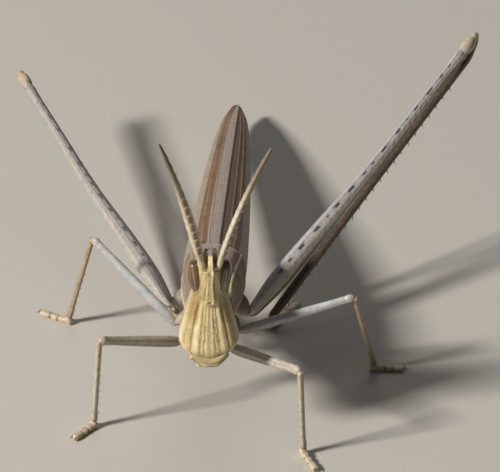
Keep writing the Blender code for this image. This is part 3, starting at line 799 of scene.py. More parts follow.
def feeler_paint(side):
    def colours(t, turn, point):
        quarter = cos(turn) * (1 if sin(turn) > 0 else -1) * -side
        inner = band(quarter, 0.42, 0.34, 0.12)
        place, fleck = joint_place(t), grain(point, 0.22 * MM, 4.0)
        blade = step(0.08, 0.13, t)
        colour = IVORY.lerp(BEIGE, 0.5 + 0.3 * fleck)
        brown = UMBER.lerp(BROWN, 0.5 + 0.3 * fleck)
        block = band(place + 0.12 * cos(3 * turn), 0.48, 0.3, 0.1) * step(0.75, 0.5, t)
        return coats(
            colour,
            (brown, 0.9 * inner * block * blade),
            (BROWN, 0.3 * (1 - inner) * bump(place, 0.8, 0.15) * blade),
            (IVORY, 0.85 * bump(abs(cos(turn)), 1.0, 0.12) * blade),
            (UMBER, 0.45 * (bump(place, 0.0, 0.05) + bump(place, 1.0, 0.05)) * (1 - 0.6 * inner)),
            (BROWN.lerp(OLIVE, 0.6), 0.85 * step(0.4, 0.85, t)),
            (CREAM.lerp(OCHRE, 0.3), 0.6 * step(0.08, 0.04, t)),
        )

    return colours


for name, side in SIDES.items():
    feeler = rolled(feeler_shape(name, side), 330, 40, feeler_paint(side), feeler_relief)
    add_piece(f"feeler_{name}", feeler, FEELER_SHELL, "feeler", f"antenna_{name}")

# %% [markdown]
# ## Mouth
# Below the face hang the clypeus and the notched upper lip, in one plate with a crease between
# them. The jaws show at its sides, and the jointed palps fold up behind it.

# %% Lip, jaws and palps
LIP = HEAD @ aim(mm(0, -2.55, -3.3), Vector((0, 1.4, -0.95)), up=Vector((0, -0.95, -1.4)))


def lip_shape(t, turn):
    close = cap(t / 2 + 0.5, 0.06)
    width = smooth(((0, 1.85), (0.3, 1.8), (0.55, 1.55), (0.8, 1.3), (1, 0.95)), t)
    up = rounded(sin(turn), 2.3)
    x = rounded(cos(turn), 2.0) * width * (0.55 + 0.45 * close)
    out = (x / 1.8) ** 2
    rise = smooth(((0, 0.0), (0.3, 0.1), (0.5, 0.34), (0.75, 0.36), (1, 0.16)), t + 0.25 * out)
    notch = 0.2 * bump(x, 0, 0.16) * step(0.75, 1.0, t)
    z = up * rise * close if up > 0 else up * (0.1 + rise * 0.6) * close
    return LIP @ mm(x, t * 1.65 - notch - 0.6 * out, z - 0.25 * out)


def lip_crease(x):
    """Where the crease between the clypeus and the lip lies, at a share across."""
    return 0.62 + 0.06 * x


def lip_relief(t, turn, point):
    upper = step(0, 0.4, sin(turn))
    x = abs(cos(turn))
    folds = -0.07 * bump(t, lip_crease(x), 0.03) + 0.04 * bump(t, 0.8, 0.1)
    folds -= 0.05 * bump(x, 0.75, 0.05) * step(0.6, 0.7, t)
    return upper * folds + 0.012 * grain(point, 0.25 * MM)


def lip_paint(t, turn, point):
    x = abs(cos(turn))
    colour = STRAW.lerp(OLIVE, 0.42).lerp(OCHRE, 0.25)
    return coats(
        colour,
        (UMBER, 0.4 * bump(t, lip_crease(x), 0.03) + 0.3 * max(grain(point, 0.35 * MM), 0)),
        (OLIVE, 0.6 * bump(x, 0, 0.13) * step(0.6, 0.75, t)),
        (CREAM, 0.35 * bump(x, 0.4, 0.15) * bump(t, 0.75, 0.1)),
        (DARK, min(0.8 * step(0.9, 0.98, t) + 0.5 * step(0.85, 0.97, x), 1.0)),
    )


lip = rolled(lip_shape, 60, 80, lip_paint, lip_relief, ease=domed)
add_piece("lip", lip, FACE, "face", "labrum")


def jaw_shape(side):
    root, down = mm(side * 1.55, -1.1, -2.7), Vector((-side * 0.62, 0.25, -1))
    place = HEAD @ aim(root, down, up=Vector((side, 0, 0)))
    width = ((0, 0.6), (0.25, 0.66), (0.6, 0.55), (0.85, 0.34), (1, 0.16))

    def shape(t, turn):
        half = smooth(width, t) * cap(t, 0.12)
        hook = -0.18 * t * t  # the cutting edge bends in towards the lip
        blade = rounded(sin(turn), 1.6) * half * 0.72
        return place @ mm(rounded(cos(turn), 2.6) * half, t * 1.4, blade + hook)

    return shape


def jaw_relief(t, turn, point):
    rings = 0.05 * bump(t, 0.3, 0.06) - 0.05 * bump(t, 0.45, 0.05)
    return rings + 0.03 * cos(5 * turn) * step(0.2, 0.5, t) - 0.03


def jaw_paint(t, turn, point):
    colour = OCHRE.lerp(CREAM, 0.4 * bump(t, 0.28, 0.1)).lerp(UMBER, 0.6 * bump(t, 0.46, 0.06))
    return colour.lerp(UMBER, 0.5 * step(0.5, 0.7, t)).lerp(DARK, 0.9 * step(0.7, 0.85, t))


def palp_shape(side):
    start, end = mm(side * 0.95, 1.25, -2.0), mm(side * 0.8, 0.4, -3.7)
    place = HEAD @ aim(start, end - start, up=Vector((side, 0, 0)))

    def shape(t, turn):
        half = (0.2 + 0.08 * abs(sin(t * 3 * pi)) ** 0.7) * cap(t, 0.1)
        return place @ mm(cos(turn) * half, t * 0.9 * (end - start).length / MM, sin(turn) * half)

    return shape


def palp_paint(t, turn, point):
    colour = BEIGE.lerp(UMBER, 0.6 * bump((t * 3) % 1.0, 0.0, 0.1))
    return colour.lerp(CREAM, 0.4 * step(0.8, 0.95, t))


for name, side in SIDES.items():
    jaw = rolled(jaw_shape(side), 40, 36, jaw_paint, jaw_relief, ease=domed)
    add_piece(f"jaw_{name}", jaw, FACE, "face", f"mandible_{name}")
    palp = rolled(palp_shape(side), 36, 20, palp_paint)
    add_piece(f"jointed_palp_{name}", palp, FEELER_SHELL, "feeler", f"palp_{name}")
print("mouth parts done")

# %% [markdown]
# ## The shield over the neck
# The pronotum is a saddle: a flat top between two keels, a low keel down the middle, and deep
# side flaps. It is an open sheet bent over the back, creased by cross furrows, then given a
# wall.

# %% Shield
SHIELD_FRONT, SHIELD_REAR = -2.3, 8.3
SHIELD_HALF = ((0, 2.25), (0.35, 2.35), (0.55, 2.5), (1, 2.95))
SHIELD_TOP = ((0, 2.85), (0.3, 3.1), (0.55, 3.12), (1, 3.3))
SHIELD_LOW = ((0, -2.2), (0.2, -2.5), (0.7, -2.75), (1, -2.2))


def shield_shape(t, turn):
    along = SHIELD_FRONT + t * (SHIELD_REAR - SHIELD_FRONT)
    rise = smooth(SHIELD_TOP, t) if sin(turn) > 0 else -smooth(SHIELD_LOW, t)
    z = rounded(sin(turn), 2.9) * rise
    rake = smooth(((0, 0.0), (0.4, 0.0), (1, 0.62)), t) * (z - smooth(SHIELD_TOP, t))
    return BODY @ mm(rounded(cos(turn), 2.9) * smooth(SHIELD_HALF, t), along + rake, z)


def sheeted(shape, along, around, first, last, colours, relief, wall):
    """An open painted sheet with a wall, closed at its edges."""
    bm = bmesh.new()
    shares, turns = bent_grid(bm, shape, along, around, first, last)
    bmesh.ops.recalc_face_normals(bm, faces=bm.faces)
    outward = bm.faces[len(bm.faces) // 2]
    middle = BODY @ mm(0, 0, -1)
    if outward.normal.dot(outward.calc_center_median() - middle) < 0:
        bmesh.ops.reverse_faces(bm, faces=bm.faces)
    emboss_and_paint(bm, shares, turns, relief, colours)
    bmesh.ops.solidify(bm, geom=bm.faces, thickness=wall * MM)
    bmesh.ops.recalc_face_normals(bm, faces=bm.faces)
    return bm


def furrows(t, share):
    """The three cross furrows of the shield. Only the last one cuts the middle keel."""
    deep = bump(t, 0.6 - 0.03 * share, 0.012)
    shallow = bump(t, 0.3 + 0.05 * share, 0.012) + bump(t, 0.46 - 0.04 * share, 0.012)
    shallow *= step(0.12, 0.3, share)
    return deep + 0.8 * shallow * step(1.7, 1.4, share)


def side_keel(t):
    """Where the shield's two upper keels lie, as a share of the turn. They bend in at t = 0.35."""
    return 0.44 + 0.12 * abs(t - 0.35)


def shield_relief(t, turn, point):
    share = turn_share(turn)
    keel = 0.13 * bump(share, 0, 0.022) * (1 - 0.8 * bump(t, 0.6, 0.012))
    keel += 0.13 * bump(share, side_keel(t), 0.035)
    rim = 0.07 * (step(0.035, 0.0, t) + step(0.975, 1.0, t))
    grains = 0.03 * max(grain(point, 0.16 * MM, 1.0) - 0.15, 0) * 3
    return keel + rim - 0.09 * furrows(t, share) + grains * step(0.5, 0.7, t + share * 0.3) - 0.04


def shield_paint(t, turn, point):
    share = turn_share(turn)
    cloud = grain(point, 1.2 * MM, 3.0)
    colour = MAUVE.lerp(PINKISH, 0.4 * band(share, 0, 0.2, 0.2))
    colour = colour.lerp(BROWN, 0.25 + 0.3 * max(cloud, 0))
    colour = colour.lerp(BROWN, 0.55 * band(share, 0.36, 0.05, 0.1))
    arc = side_keel(t)
    return coats(
        colour,
        (CREAM, (0.06 + 0.9 * band(t, 0.26, 0.16, 0.14)) * band(share, arc, 0.075, 0.04)),
        (UMBER, 0.6 * band(share, arc + 0.12, 0.04, 0.05)),
        # a browner band down each side flap: painted shade
        (BROWN, 0.7 * band(share, 0.78, 0.12, 0.08)),
        (BEIGE.lerp(CREAM, 0.5), 0.8 * step(1.02, 1.2, share)),
        (PINKISH, 0.4 * step(0.03, 0.0, t) + 0.35 * bump(share, 0, 0.02)),
        (UMBER, 0.55 * min(furrows(t, share), 1.0)),
        (UMBER, 0.45 * step(0.35, 0.5, grain(point, 0.28 * MM, 6.0))),
    )


shield = sheeted(shield_shape, 190, 170, -52.0, 232.0, shield_paint, shield_relief, 0.3)
add_piece("shield", shield, BODY_SHELL, "body", "pronotum")
print("shield done")

# %% [markdown]
# ## Trunk and hips
# The trunk between the legs and the six hips is one skin, so that no seam shows where a hip
# swells out of it. The tube and six ovals are joined, then a voxel remesh melts them into one
# surface.

# %% Trunk skin
TRUNK_REAR = 13.6
KNEE_DROP = 1.42  # millimetres from the end of a hind thigh down to the start of its shin
LEGS = {
    "fore": {
        "hip": (2.5, 0.0, -3.5), "femur": 10.0, "tibia": 9.65, "tarsus": 3.6,
        "coxa": 0.8, "shin": 0.56,
    },
    "mid": {
        "hip": (3.2, 6.0, -4.2), "femur": 11.2, "tibia": 10.3, "tarsus": 3.7,
        "coxa": 0.85, "shin": 0.54,
    },
    "hind": {
        "hip": (3.9, 10.4, -4.2), "femur": 39.0, "tibia": 36.0, "tarsus": 6.6,
        "coxa": 1.2, "shin": 0.86,
    },
}
# femur back from sideways, femur up, shin back, foot back, lean of the femur's top, in degrees
STANCE = {
    ("fore", "left"): (-48, 17.5, 55, -62, 0),
    ("fore", "right"): (-42, 18.5, 98, -58, 0),
    ("mid", "left"): (6, 24, 50, 12, 0),
    ("mid", "right"): (28, 28.5, 45, 20, 0),
    ("hind", "left"): (56.1, 27.6, 233.4, 62, 0),
    ("hind", "right"): (60.9, 6.7, 237.5, 66, 28),
}


def hip_at(pair, side):
    x, y, z = LEGS[pair]["hip"]
    return BODY @ mm(side * x, y, z)


def trunk_shape(t, turn):
    half = smooth(((0, 1.45), (0.2, 1.75), (0.6, 2.3), (0.8, 2.5), (1, 2.1)), t)
    top = smooth(((0, 1.7), (0.25, 2.3), (0.8, 2.45), (1, 2.1)), t)
    bottom = smooth(((0, 2.9), (0.2, 3.5), (0.5, 4.4), (0.85, 4.4), (1, 3.4)), t)
    up, close = rounded(sin(turn), 2.6), cap(t, 0.01)
    along = SHIELD_FRONT + 0.1 + t * (TRUNK_REAR - SHIELD_FRONT - 0.1)
    x = rounded(cos(turn), 2.6) * half
    return BODY @ mm(x * close, along, (up * top if up > 0 else up * bottom) * close)


def trunk_relief(t, turn, point):
    seams = sum(bump(t, place, 0.008) for place in (0.3, 0.45, 0.62, 0.8, 0.9))
    slanted = bump((t + 0.12 * sin(turn)) % 0.31, 0.15, 0.008)
    return -0.09 * seams - 0.06 * slanted * step(0.2, 0.5, abs(cos(turn)))


def no_paint(t, turn, point):
    return BEIGE


def hip_shape(pair, side):
    back, up = STANCE[(pair, "left" if side == LEFT else "right")][:2]
    hip, inside = hip_at(pair, side), BODY @ mm(side * 0.9, LEGS[pair]["hip"][1], -2.6)
    root = hip - heading(side, back, up) * 0.1 * MM - inside
    place, size = aim(inside, root), LEGS[pair]["coxa"]

    def shape(t, turn):
        # a pear with a collar round the root of the thigh
        taper = 1 - 0.42 * step(0.5, 0.95, t) + 0.16 * bump(t, 0.86, 0.035)
        taper -= 0.12 * bump(t, 0.76, 0.03)
        reach = sin(pi * t) ** 0.8 * size * 0.95 * taper
        fold = 1 + 0.1 * sin(3 * turn + 1.0) * step(0.95, 0.6, t)
        x, z = cos(turn) * reach * fold, sin(turn) * reach * fold
        return place @ Vector((x * MM, root.length * (1 - cos(pi * t)) / 2, z * MM))

    return shape


def melt(obj, voxel, rounds):
    """Melts overlapping closed shapes into one skin."""
    remesh = obj.modifiers.new("melt", "REMESH")
    remesh.mode, remesh.voxel_size = "VOXEL", voxel * MM
    remesh.use_smooth_shade = True
    soften = obj.modifiers.new("soften", "SMOOTH")
    soften.factor, soften.iterations = 0.5, rounds
    bpy.context.view_layer.update()
    evaluated = obj.evaluated_get(bpy.context.evaluated_depsgraph_get())
    melted = bpy.data.meshes.new_from_object(evaluated)
    obj.modifiers.clear()
    obj.data = melted
    return melted


def repaint(mesh, colours):
    """Gives a melted mesh its paint, from each point's place."""
    store = mesh.attributes.get("paint") or mesh.attributes.new("paint", "FLOAT_COLOR", "POINT")
    for vert, slot in zip(mesh.vertices, store.data):
        slot.color = (*colours(vert.co), 1)


BODY_INVERSE = BODY.inverted()


def trunk_paint(point):
    local = BODY_INVERSE @ point / MM
    colour = BROWN.lerp(GREY, 0.45).lerp(UMBER, 0.25 * grain(point, 0.3 * MM, 8.5))
    colour = colour.lerp(CREAM, 0.5 * bump(local.z, -1.6, 0.5))
    colour = colour.lerp(BEIGE, 0.5 * step(0.0, 0.35, grain(point, 1.1 * MM, 8.0)))
    seam = sum(bump(local.y, place, 0.09) for place in (2.6, 5.0, 7.7, 10.4, 12.0))
    return colour.lerp(UMBER, 0.5 * min(seam, 1.0))


def joined(shapes):
    """Several closed bmeshes in one mesh."""
    whole = bmesh.new()
    for bm in shapes:
        part = bpy.data.meshes.new("part")
        bm.to_mesh(part)
        bm.free()
        whole.from_mesh(part)
        bpy.data.meshes.remove(part)
    return whole


lumps = [rolled(trunk_shape, 150, 90, no_paint, trunk_relief)]
hips = []
for pair in LEGS:
    for name, side in SIDES.items():
        lumps.append(rolled(hip_shape(pair, side), 48, 32, no_paint))
        hips.append(f"{pair}_coxa_{name}")
trunk = add_piece("trunk_skin", joined(lumps), BODY_SHELL, "belly", "thorax", *hips)
repaint(melt(trunk, 0.1, 3), trunk_paint)
trunk.data.materials.clear()
trunk.data.materials.append(BODY_SHELL)
print("trunk skin:", len(trunk.data.polygons), "faces")

# %% [markdown]
# ## Abdomen and tail
# Nine rings slide into each other like a telescope, and a fold runs along each side between the
# upper and lower plates. Behind them come the short digging valves of a female and two small
# pointed tails.

# %% Abdomen
RINGS = 9
BELLY_REAR = 46.5


def belly_shape(t, turn):
    half = smooth(((0, 2.0), (0.3, 1.85), (0.7, 1.4), (0.9, 1.05), (1, 0.7)), t)
    top = smooth(((0, 2.05), (0.4, 1.75), (0.8, 1.25), (1, 0.8)), t)
    bottom = smooth(((0, 3.0), (0.3, 2.75), (0.7, 1.9), (1, 0.75)), t)
    ring = (t * RINGS) % 1.0 if t < 1 else 1.0
    swell = (0.93 + 0.07 * step(0.0, 0.8, ring) * step(1.0, 0.93, ring)) * cap(t, 0.012)
    up = rounded(sin(turn), 2.2)
    x = rounded(cos(turn), 2.2) * half * swell
    along = TRUNK_REAR + 0.1 + t * (BELLY_REAR - TRUNK_REAR - 0.1)
    return BODY @ mm(x, along, (up * top if up > 0 else up * bottom) * swell)


def belly_relief(t, turn, point):
    fold = bump(sin(turn), -0.25, 0.06)
    return -0.12 * fold + 0.06 * bump(sin(turn), -0.12, 0.05) + 0.015 * grain(point, 0.3 * MM)


def belly_paint(t, turn, point):
    share, ring = turn_share(turn), (t * RINGS) % 1.0
    colour = BEIGE.lerp(PINKISH, 0.6 * step(0.7, 0.3, share))
    colour = colour.lerp(CREAM, 0.35 * step(1.3, 1.6, share))
    colour = colour.lerp(BROWN, 0.5 * band(share, 0.85, 0.12, 0.1))
    blotch = step(0.2, 0.5, grain(point, 0.5 * MM, 9.0))
    colour = colour.lerp(UMBER, 0.6 * bump(ring, 0.98, 0.05) + 0.35 * blotch)
    spots = bump(share, 0.55, 0.05) * bump(ring, 0.5, 0.12)
    return colour.lerp(DARK, 0.6 * spots)


belly = rolled(belly_shape, 300, 80, belly_paint, belly_relief)
add_piece("ringed_abdomen", belly, BODY_SHELL, "belly", "abdomen")


def valve_shape(up):
    root = BODY @ Matrix.Translation(mm(0, BELLY_REAR + 0.1, up * 0.32 - 0.35))

    def shape(t, turn):
        close = cap(t, 0.1)
        half = smooth(((0, 0.5), (0.6, 0.42), (1, 0.25)), t) * close
        lift = up * 0.3 * t**4
        split = 1 - 0.5 * bump(cos(turn), 0, 0.25)
        return root @ mm(cos(turn) * half, t * 2.9, sin(turn) * 0.27 * close * split + lift)

    return shape


def valve_paint(t, turn, point):
    return BEIGE.lerp(UMBER, 0.5 * step(0.2, 0.7, t)).lerp(DARK, 0.8 * step(0.75, 0.95, t))


def tail_shape(side):
    root = BODY @ aim(mm(side * 0.42, 46.6, 0.52), Vector((side * 0.05, 1, 0.03)))

    def shape(t, turn):
        half = (0.27 - 0.12 * t) * cap(t, 0.15)
        return root @ mm(cos(turn) * half, t * 1.2, sin(turn) * half)

    return shape


for name, up in (("upper", 1), ("lower", -1)):
    valve = rolled(valve_shape(up), 40, 28, valve_paint, ease=domed)
    add_piece(f"digging_valve_{name}", valve, BODY_SHELL, "belly", f"ovipositor_{name}")
for name, side in SIDES.items():
    tail = rolled(tail_shape(side), 24, 16, palp_paint, ease=domed)
    add_piece(f"tail_{name}", tail, BODY_SHELL, "belly", f"cercus_{name}")
print("abdomen has", RINGS, "rings")

# %% [markdown]
# ## Wings
# The folded fore wings are leathery and roof the back. Long veins stand up from them and small
# cross veins net the space between. The long veins are relief. The net is a cell texture laid in
# the wing's own UV map, so that it follows the wing, and it darkens the colour and feeds the
# bump.

# %% Wing finish


def wing_finish():
    material = cuticle_finish("wing_leather", 0.8, 0.2, 1800.0, 0.3, 0.03)
    tree = material.node_tree
    group = next(n for n in tree.nodes if n.type == "GROUP")
    dents = next(n for n in tree.nodes if n.type == "BUMP")
    place = node(tree, "ShaderNodeUVMap", uv_map="lie").outputs["UV"]
    values = {"Vector": place, "Scale": (105.0, 30.0, 1.0)}
    lay = node(tree, "ShaderNodeMapping", values).outputs["Vector"]
    values = {"Vector": lay, "Scale": 1.0, "Randomness": 0.7}
    kind = {"feature": "DISTANCE_TO_EDGE", "voronoi_dimensions": "2D"}
    cells = node(tree, "ShaderNodeTexVoronoi", values, **kind)
    edge = cells.outputs["Distance"]
    values = {"Value": edge, "From Min": 0.02, "From Max": 0.16, "To Min": 1.0, "To Max": 0.0}
    net = node(tree, "ShaderNodeMapRange", values).outputs["Result"]
    share = node(tree, "ShaderNodeMath", {0: net, 1: 0.28}, operation="MULTIPLY").outputs["Value"]
    values = {"Factor": share, "A": group.outputs["Colour"], "B": (0.09, 0.055, 0.035, 1)}
    darker = node(tree, "ShaderNodeMix", values, data_type="RGBA").outputs["Result"]
    feed(tree, tree.nodes["Principled BSDF"].inputs["Base Color"], darker)
    values = {0: net, 1: group.outputs["Height"]}
    raised = node(tree, "ShaderNodeMath", values, operation="ADD").outputs["Value"]
    feed(tree, dents.inputs["Height"], raised)
    return material


WING_LEATHER = wing_finish()
print("wing net laid in the UV map")

# %% Fore wings
WING_TIP = 54.95
WING_REACH = ((0, 3.05), (0.1, 3.0), (0.4, 2.65), (0.7, 2.1), (0.88, 1.5), (0.97, 0.9), (1, 0.6))
WING_TOP = ((0, 3.2), (0.15, 2.95), (0.5, 2.3), (0.8, 1.75), (0.95, 1.25), (1, 0.95))
WING_LOW = ((0, -1.1), (0.12, -2.2), (0.5, -2.0), (0.8, -1.3), (0.95, -0.65), (1, -0.55))
WING_HEM = ((0, -22), (0.12, -38), (0.6, -35), (0.9, -30), (1, -8))
# the veins, as shares of the way from the hem to the back
VEINS = (0.04, 0.13, 0.2, 0.33, 0.385, 0.47, 0.6, 0.67, 0.76, 0.87)


def wing_shape(side):
    first = SHIELD_REAR + 0.2
    sunk = 0.12 if side == LEFT else 0.0  # the left wing lies under the right one

    def shape(t, turn):
        hem = radians(smooth(WING_HEM, t))
        angle = hem + (radians(89.9) - hem) * turn / (2 * pi)
        rise = smooth(WING_TOP, t) if sin(angle) > 0 else -smooth(WING_LOW, t)
        x = rounded(cos(angle), 2.5) * (smooth(WING_REACH, t) - 0.05) + 0.05
        z = rounded(sin(angle), 2.5) * rise
        rake = smooth(((0, 0.62), (0.25, 0.1), (1, 0.0)), t) * (z - 3.3)
        lap = step(0.9, 0.0, x)
        x, z = x - 0.3 * lap * step(0.6, 1.0, turn / (2 * pi)), z - sunk * lap
        # the lower corner of the tip is rounded
        round_off = 1.7 * step(0.9, 1.0, t) * (1 - turn / (2 * pi)) ** 2
        return BODY @ mm(side * x, first + t * (WING_TIP - first) + rake - round_off, z)

    return shape


def vein(t, turn):
    across = turn / (2 * pi)
    fan = 0.12 * (t - 0.5) * (across - 0.4)
    return max(bump(across + fan, place, 0.011) for place in VEINS)


def wing_relief(t, turn, point):
    return 0.07 * vein(t, turn) + 0.012 * grain(point, 0.4 * MM) - 0.05


def wing_paint(side):
    def colours(t, turn, point):
        across = turn / (2 * pi)
        cloud = streaks(point, 0.25, 0.8 * MM, 11.0)
        rust = BROWN.lerp(paint(142, 98, 66), 0.6)
        colour = BEIGE.lerp(GREY, 0.6 + 0.2 * cloud)
        colour = coats(
            colour,
            (UMBER, 0.3 if side == RIGHT else 0.1),
            (UMBER, 0.6 * band(across, 0.1, 0.06, 0.05)),
            (rust.lerp(UMBER, 0.5 + 0.4 * cloud), 0.95 * step(0.66, 0.72, across)),
            (UMBER.lerp(DARK, 0.4), 0.6 * band(across, 0.69, 0.008, 0.02)),
        )
        if side == RIGHT:  # the back edge of the wing on top is pale
            colour = colour.lerp(PINKISH.lerp(GREY, 0.15), 0.85 * step(0.85, 0.9, across))
        else:
            # the under wing's strip beside the seam is painted near-black over its rust band:
            # painted shade
            colour = colour.lerp(UMBER.lerp(DARK, 0.7), 0.85 * step(0.8, 0.9, across))
        colour = colour.lerp(UMBER.lerp(DARK, 0.5), 0.6 * step(0.985, 0.995, across))
        colour = colour.lerp(BEIGE, 0.3 * vein(t, turn))
        blotch = step(0.28, 0.42, streaks(point, 0.4, 0.9 * MM, 12.0))
        return colour.lerp(DARK, 0.35 * blotch * band(across, 0.78, 0.06, 0.05))

    return colours


for name, side in SIDES.items():
    wing = sheeted(wing_shape(side), 320, 84, 0.0, 360.0, wing_paint(side), wing_relief, 0.22)
    add_piece(f"fore_wing_{name}", wing, WING_LEATHER, "wing", f"forewing_{name}")
print("wings reach", WING_TIP, "mm behind the body frame's origin")

# %% [markdown]
# ## Legs
# Each leg is a hip, a thigh, a shin and a three-jointed foot. The thighs of the hind legs are
# long clubs with keels above and below, a herringbone of slanting ribs on their outer face and a
# row of blue-black spots along the top. The shins carry two rows of spines and end in spurs.

# %% Where the joints of a leg are


def leg_plan(pair, name):
    """Hip, knee, ankle and directions of one leg, from its lengths and its stance."""
    size, side = LEGS[pair], SIDES[name]
    back_angle, up_angle, shin_angle, foot_angle, lean = STANCE[(pair, name)]
    hip, run, upright = hip_at(pair, side), heading(side, back_angle, up_angle), Vector((0, 0, 1))
    outward = Vector((side * sin(radians(back_angle)), -cos(radians(back_angle)), 0))
    back = (upright - run * run.dot(upright)).normalized()
    back = back * cos(radians(lean)) + outward * sin(radians(lean))
    knee = hip + run * size["femur"] * MM
    shin_start = knee - back * KNEE_DROP * MM if pair == "hind" else knee
    ankle_height = (0.7 + (0.5 if pair == "hind" else 0.28) * size["shin"]) * MM
    drop = asin((shin_start.z - ankle_height) / (size["tibia"] * MM))
    fall = heading(side, shin_angle, 0) * cos(drop) - upright * sin(drop)
    return {
        "side": side, "hip": hip, "knee": knee, "run": run, "back": back, "fall": fall,
        "shin_start": shin_start, "ankle": shin_start + fall * size["tibia"] * MM,
        "shin_front": -heading(side, shin_angle, 0) if pair == "hind" else run,
        "foot": heading(side, foot_angle, 0),
    }


def limb(start, end, up, thick, depth, power=2.2, close=0.02, bend=0.0, bow=0.0):
    """The shape of a tapering limb. thick and depth are full sizes in millimetres along it.

    bend lifts its first stretch, for a shin that comes out of the knee in a curve. bow curves its
    middle sideways.
    """
    place, length = aim(start, end - start, up), (end - start).length / MM

    def shape(t, turn):
        shut = cap(t, close)
        x = rounded(cos(turn), power) * smooth(thick, t) / 2 * shut
        z = rounded(sin(turn), power) * smooth(depth, t) / 2 * shut
        return place @ mm(x + bow * bump(t, 0.5, 0.22), t * length, z + bend * step(0.07, 0.0, t))

    return shape


PLANS = {key: leg_plan(*key) for key in STANCE}
print("left hind knee at", [round(c / MM, 1) for c in PLANS[("hind", "left")]["knee"]], "mm")

# %% Hind thighs
HIND_THICK = (
    (0, 0.8), (0.03, 1.2), (0.12, 1.8), (0.3, 1.62), (0.45, 1.3), (0.6, 1.12), (0.85, 0.9),
    (0.955, 1.1), (1, 0.8),
)
HIND_DEPTH = (
    (0, 1.0), (0.03, 1.6), (0.12, 2.35), (0.3, 2.05), (0.45, 1.68), (0.6, 1.42), (0.85, 1.15),
    (0.955, 1.5), (1, 1.05),
)
SPOTS, RIBS = 20, 40
SPOT_ROW = {LEFT: -0.3, RIGHT: 0.42}  # how far the row lies from the top keel, towards the middle


def thigh_keels(turn):
    """The keels along the top, the bottom and the four corners of a thigh."""
    share = turn_share(turn)
    corners = bump(share, 0.85, 0.07) + bump(share, 1.4, 0.07)
    return bump(share, 0, 0.07) + bump(share, 2, 0.07) + 0.6 * corners


def spot(t, turn, side):
    """Blue-black spots in a row beside the top keel."""
    inner = (turn - pi / 2) * side  # positive towards the insect's middle
    row = (t * SPOTS + 0.15 * sin(37 * t)) % 1.0
    size = 0.7 + 0.3 * sin(91 * t)
    across, along = band(inner, SPOT_ROW[side], 0.13 * size, 0.1), band(row, 0.5, 0.16 * size, 0.12)
    return across * along * band(t, 0.5, 0.38, 0.04)


def herringbone(t, turn):
    """Slanting ribs that meet in arrows along the middle of the thigh's face, from -1 to 1."""
    return sin((t - abs(sin(turn)) * 0.028) * 2 * pi * RIBS)


def hind_relief(side):
    def relief(t, turn, point):
        outer = step(0.35, 0.75, cos(turn) * side)
        ribs = herringbone(t, turn) * outer * step(0.06, 0.14, t) * step(0.88, 0.78, t)
        knee = 0.1 * bump(t, 0.955, 0.02) - 0.09 * bump(t, 0.925, 0.008)
        knee -= 0.05 * bump(t, 0.975, 0.006)
        keels = 0.09 * thigh_keels(turn) * step(0.97, 0.9, t)
        return keels + 0.006 * ribs + knee - 0.06 + 0.01 * grain(point, 0.3 * MM)

    return relief


def hind_paint(side):
    def colours(t, turn, point):
        outer, share = cos(turn) * side, turn_share(turn)
        cloud = streaks(point, 0.5, 1.1 * MM, 14.0)
        colour = PALE_GREY.lerp(PINKISH, 0.5 + 0.3 * cloud)
        if side == RIGHT:  # this leg is painted greyer and darker: partly a greyer tone, partly painted shade
            colour = colour.lerp(GREY.lerp(UMBER, 0.3), 0.7)
        # the outer band: on the left thigh a pale cream lightened as painted light, on the right
        # thigh greyed as painted shade
        pale = IVORY.lerp(PALE_GREY, 0.15) if side == LEFT else IVORY.lerp(GREY, 0.6)
        colour = coats(
            colour,
            (pale, 0.9 * step(0.0, 0.2, outer) * band(share, 0.66, 0.27, 0.08)),
            (BEIGE.lerp(BROWN, 0.3), 0.8 * step(0.0, 0.2, outer) * step(0.88, 0.96, share)),
            # the underside is painted near-black olive: painted shade
            (OLIVE.lerp(DARK, 0.5), 0.8 * step(1.0, 1.12, share)),
            (PINKISH.lerp(UMBER, 0.4), 0.6 * bump(share, 0.5, 0.05) * step(0.0, -0.2, outer)),
            (UMBER, 0.3 * step(0.3, 0.5, grain(point, 0.35 * MM, 15.0))),
        )
        rib = 0.5 + 0.5 * herringbone(t, turn)
        return coats(
            colour,
            (BROWN, 0.1 * rib * step(0.45, 0.8, outer) * step(0.9, 0.8, t)),
            (BLUE_BLACK, 0.92 * spot(t, turn, side)),
            (OCHRE.lerp(BEIGE, 0.5), 0.7 * step(0.92, 0.95, t)),
        )

    return colours


for name, side in SIDES.items():
    plan = PLANS[("hind", name)]
    root = plan["hip"] - plan["run"] * 0.3 * MM  # a little inside the hip
    section = {"thick": HIND_THICK, "depth": HIND_DEPTH, "power": 2.0, "bow": 0.26 * side}
    shape = limb(root, plan["knee"], plan["back"], **section)
    thigh = rolled(shape, 560, 72, hind_paint(side), hind_relief(side))
    add_piece(f"hind_thigh_{name}", thigh, LEG_SHELL, "leg", f"hind_femur_{name}")
print("hind thighs carry", SPOTS, "spots each")

# %% [markdown]
# The fore and middle thighs are slim and straight, with low keels and two darker lines along
# each side.

# %% Fore and middle thighs


def slim_relief(t, turn, point):
    knee = 0.03 * bump(t, 0.955, 0.03) * (1 + 0.8 * cos(2 * turn)) - 0.035 * bump(t, 0.915, 0.01)
    keels = 0.045 * thigh_keels(turn) * step(0.96, 0.88, t)
    return keels + knee - 0.03 + 0.008 * grain(point, 0.2 * MM)


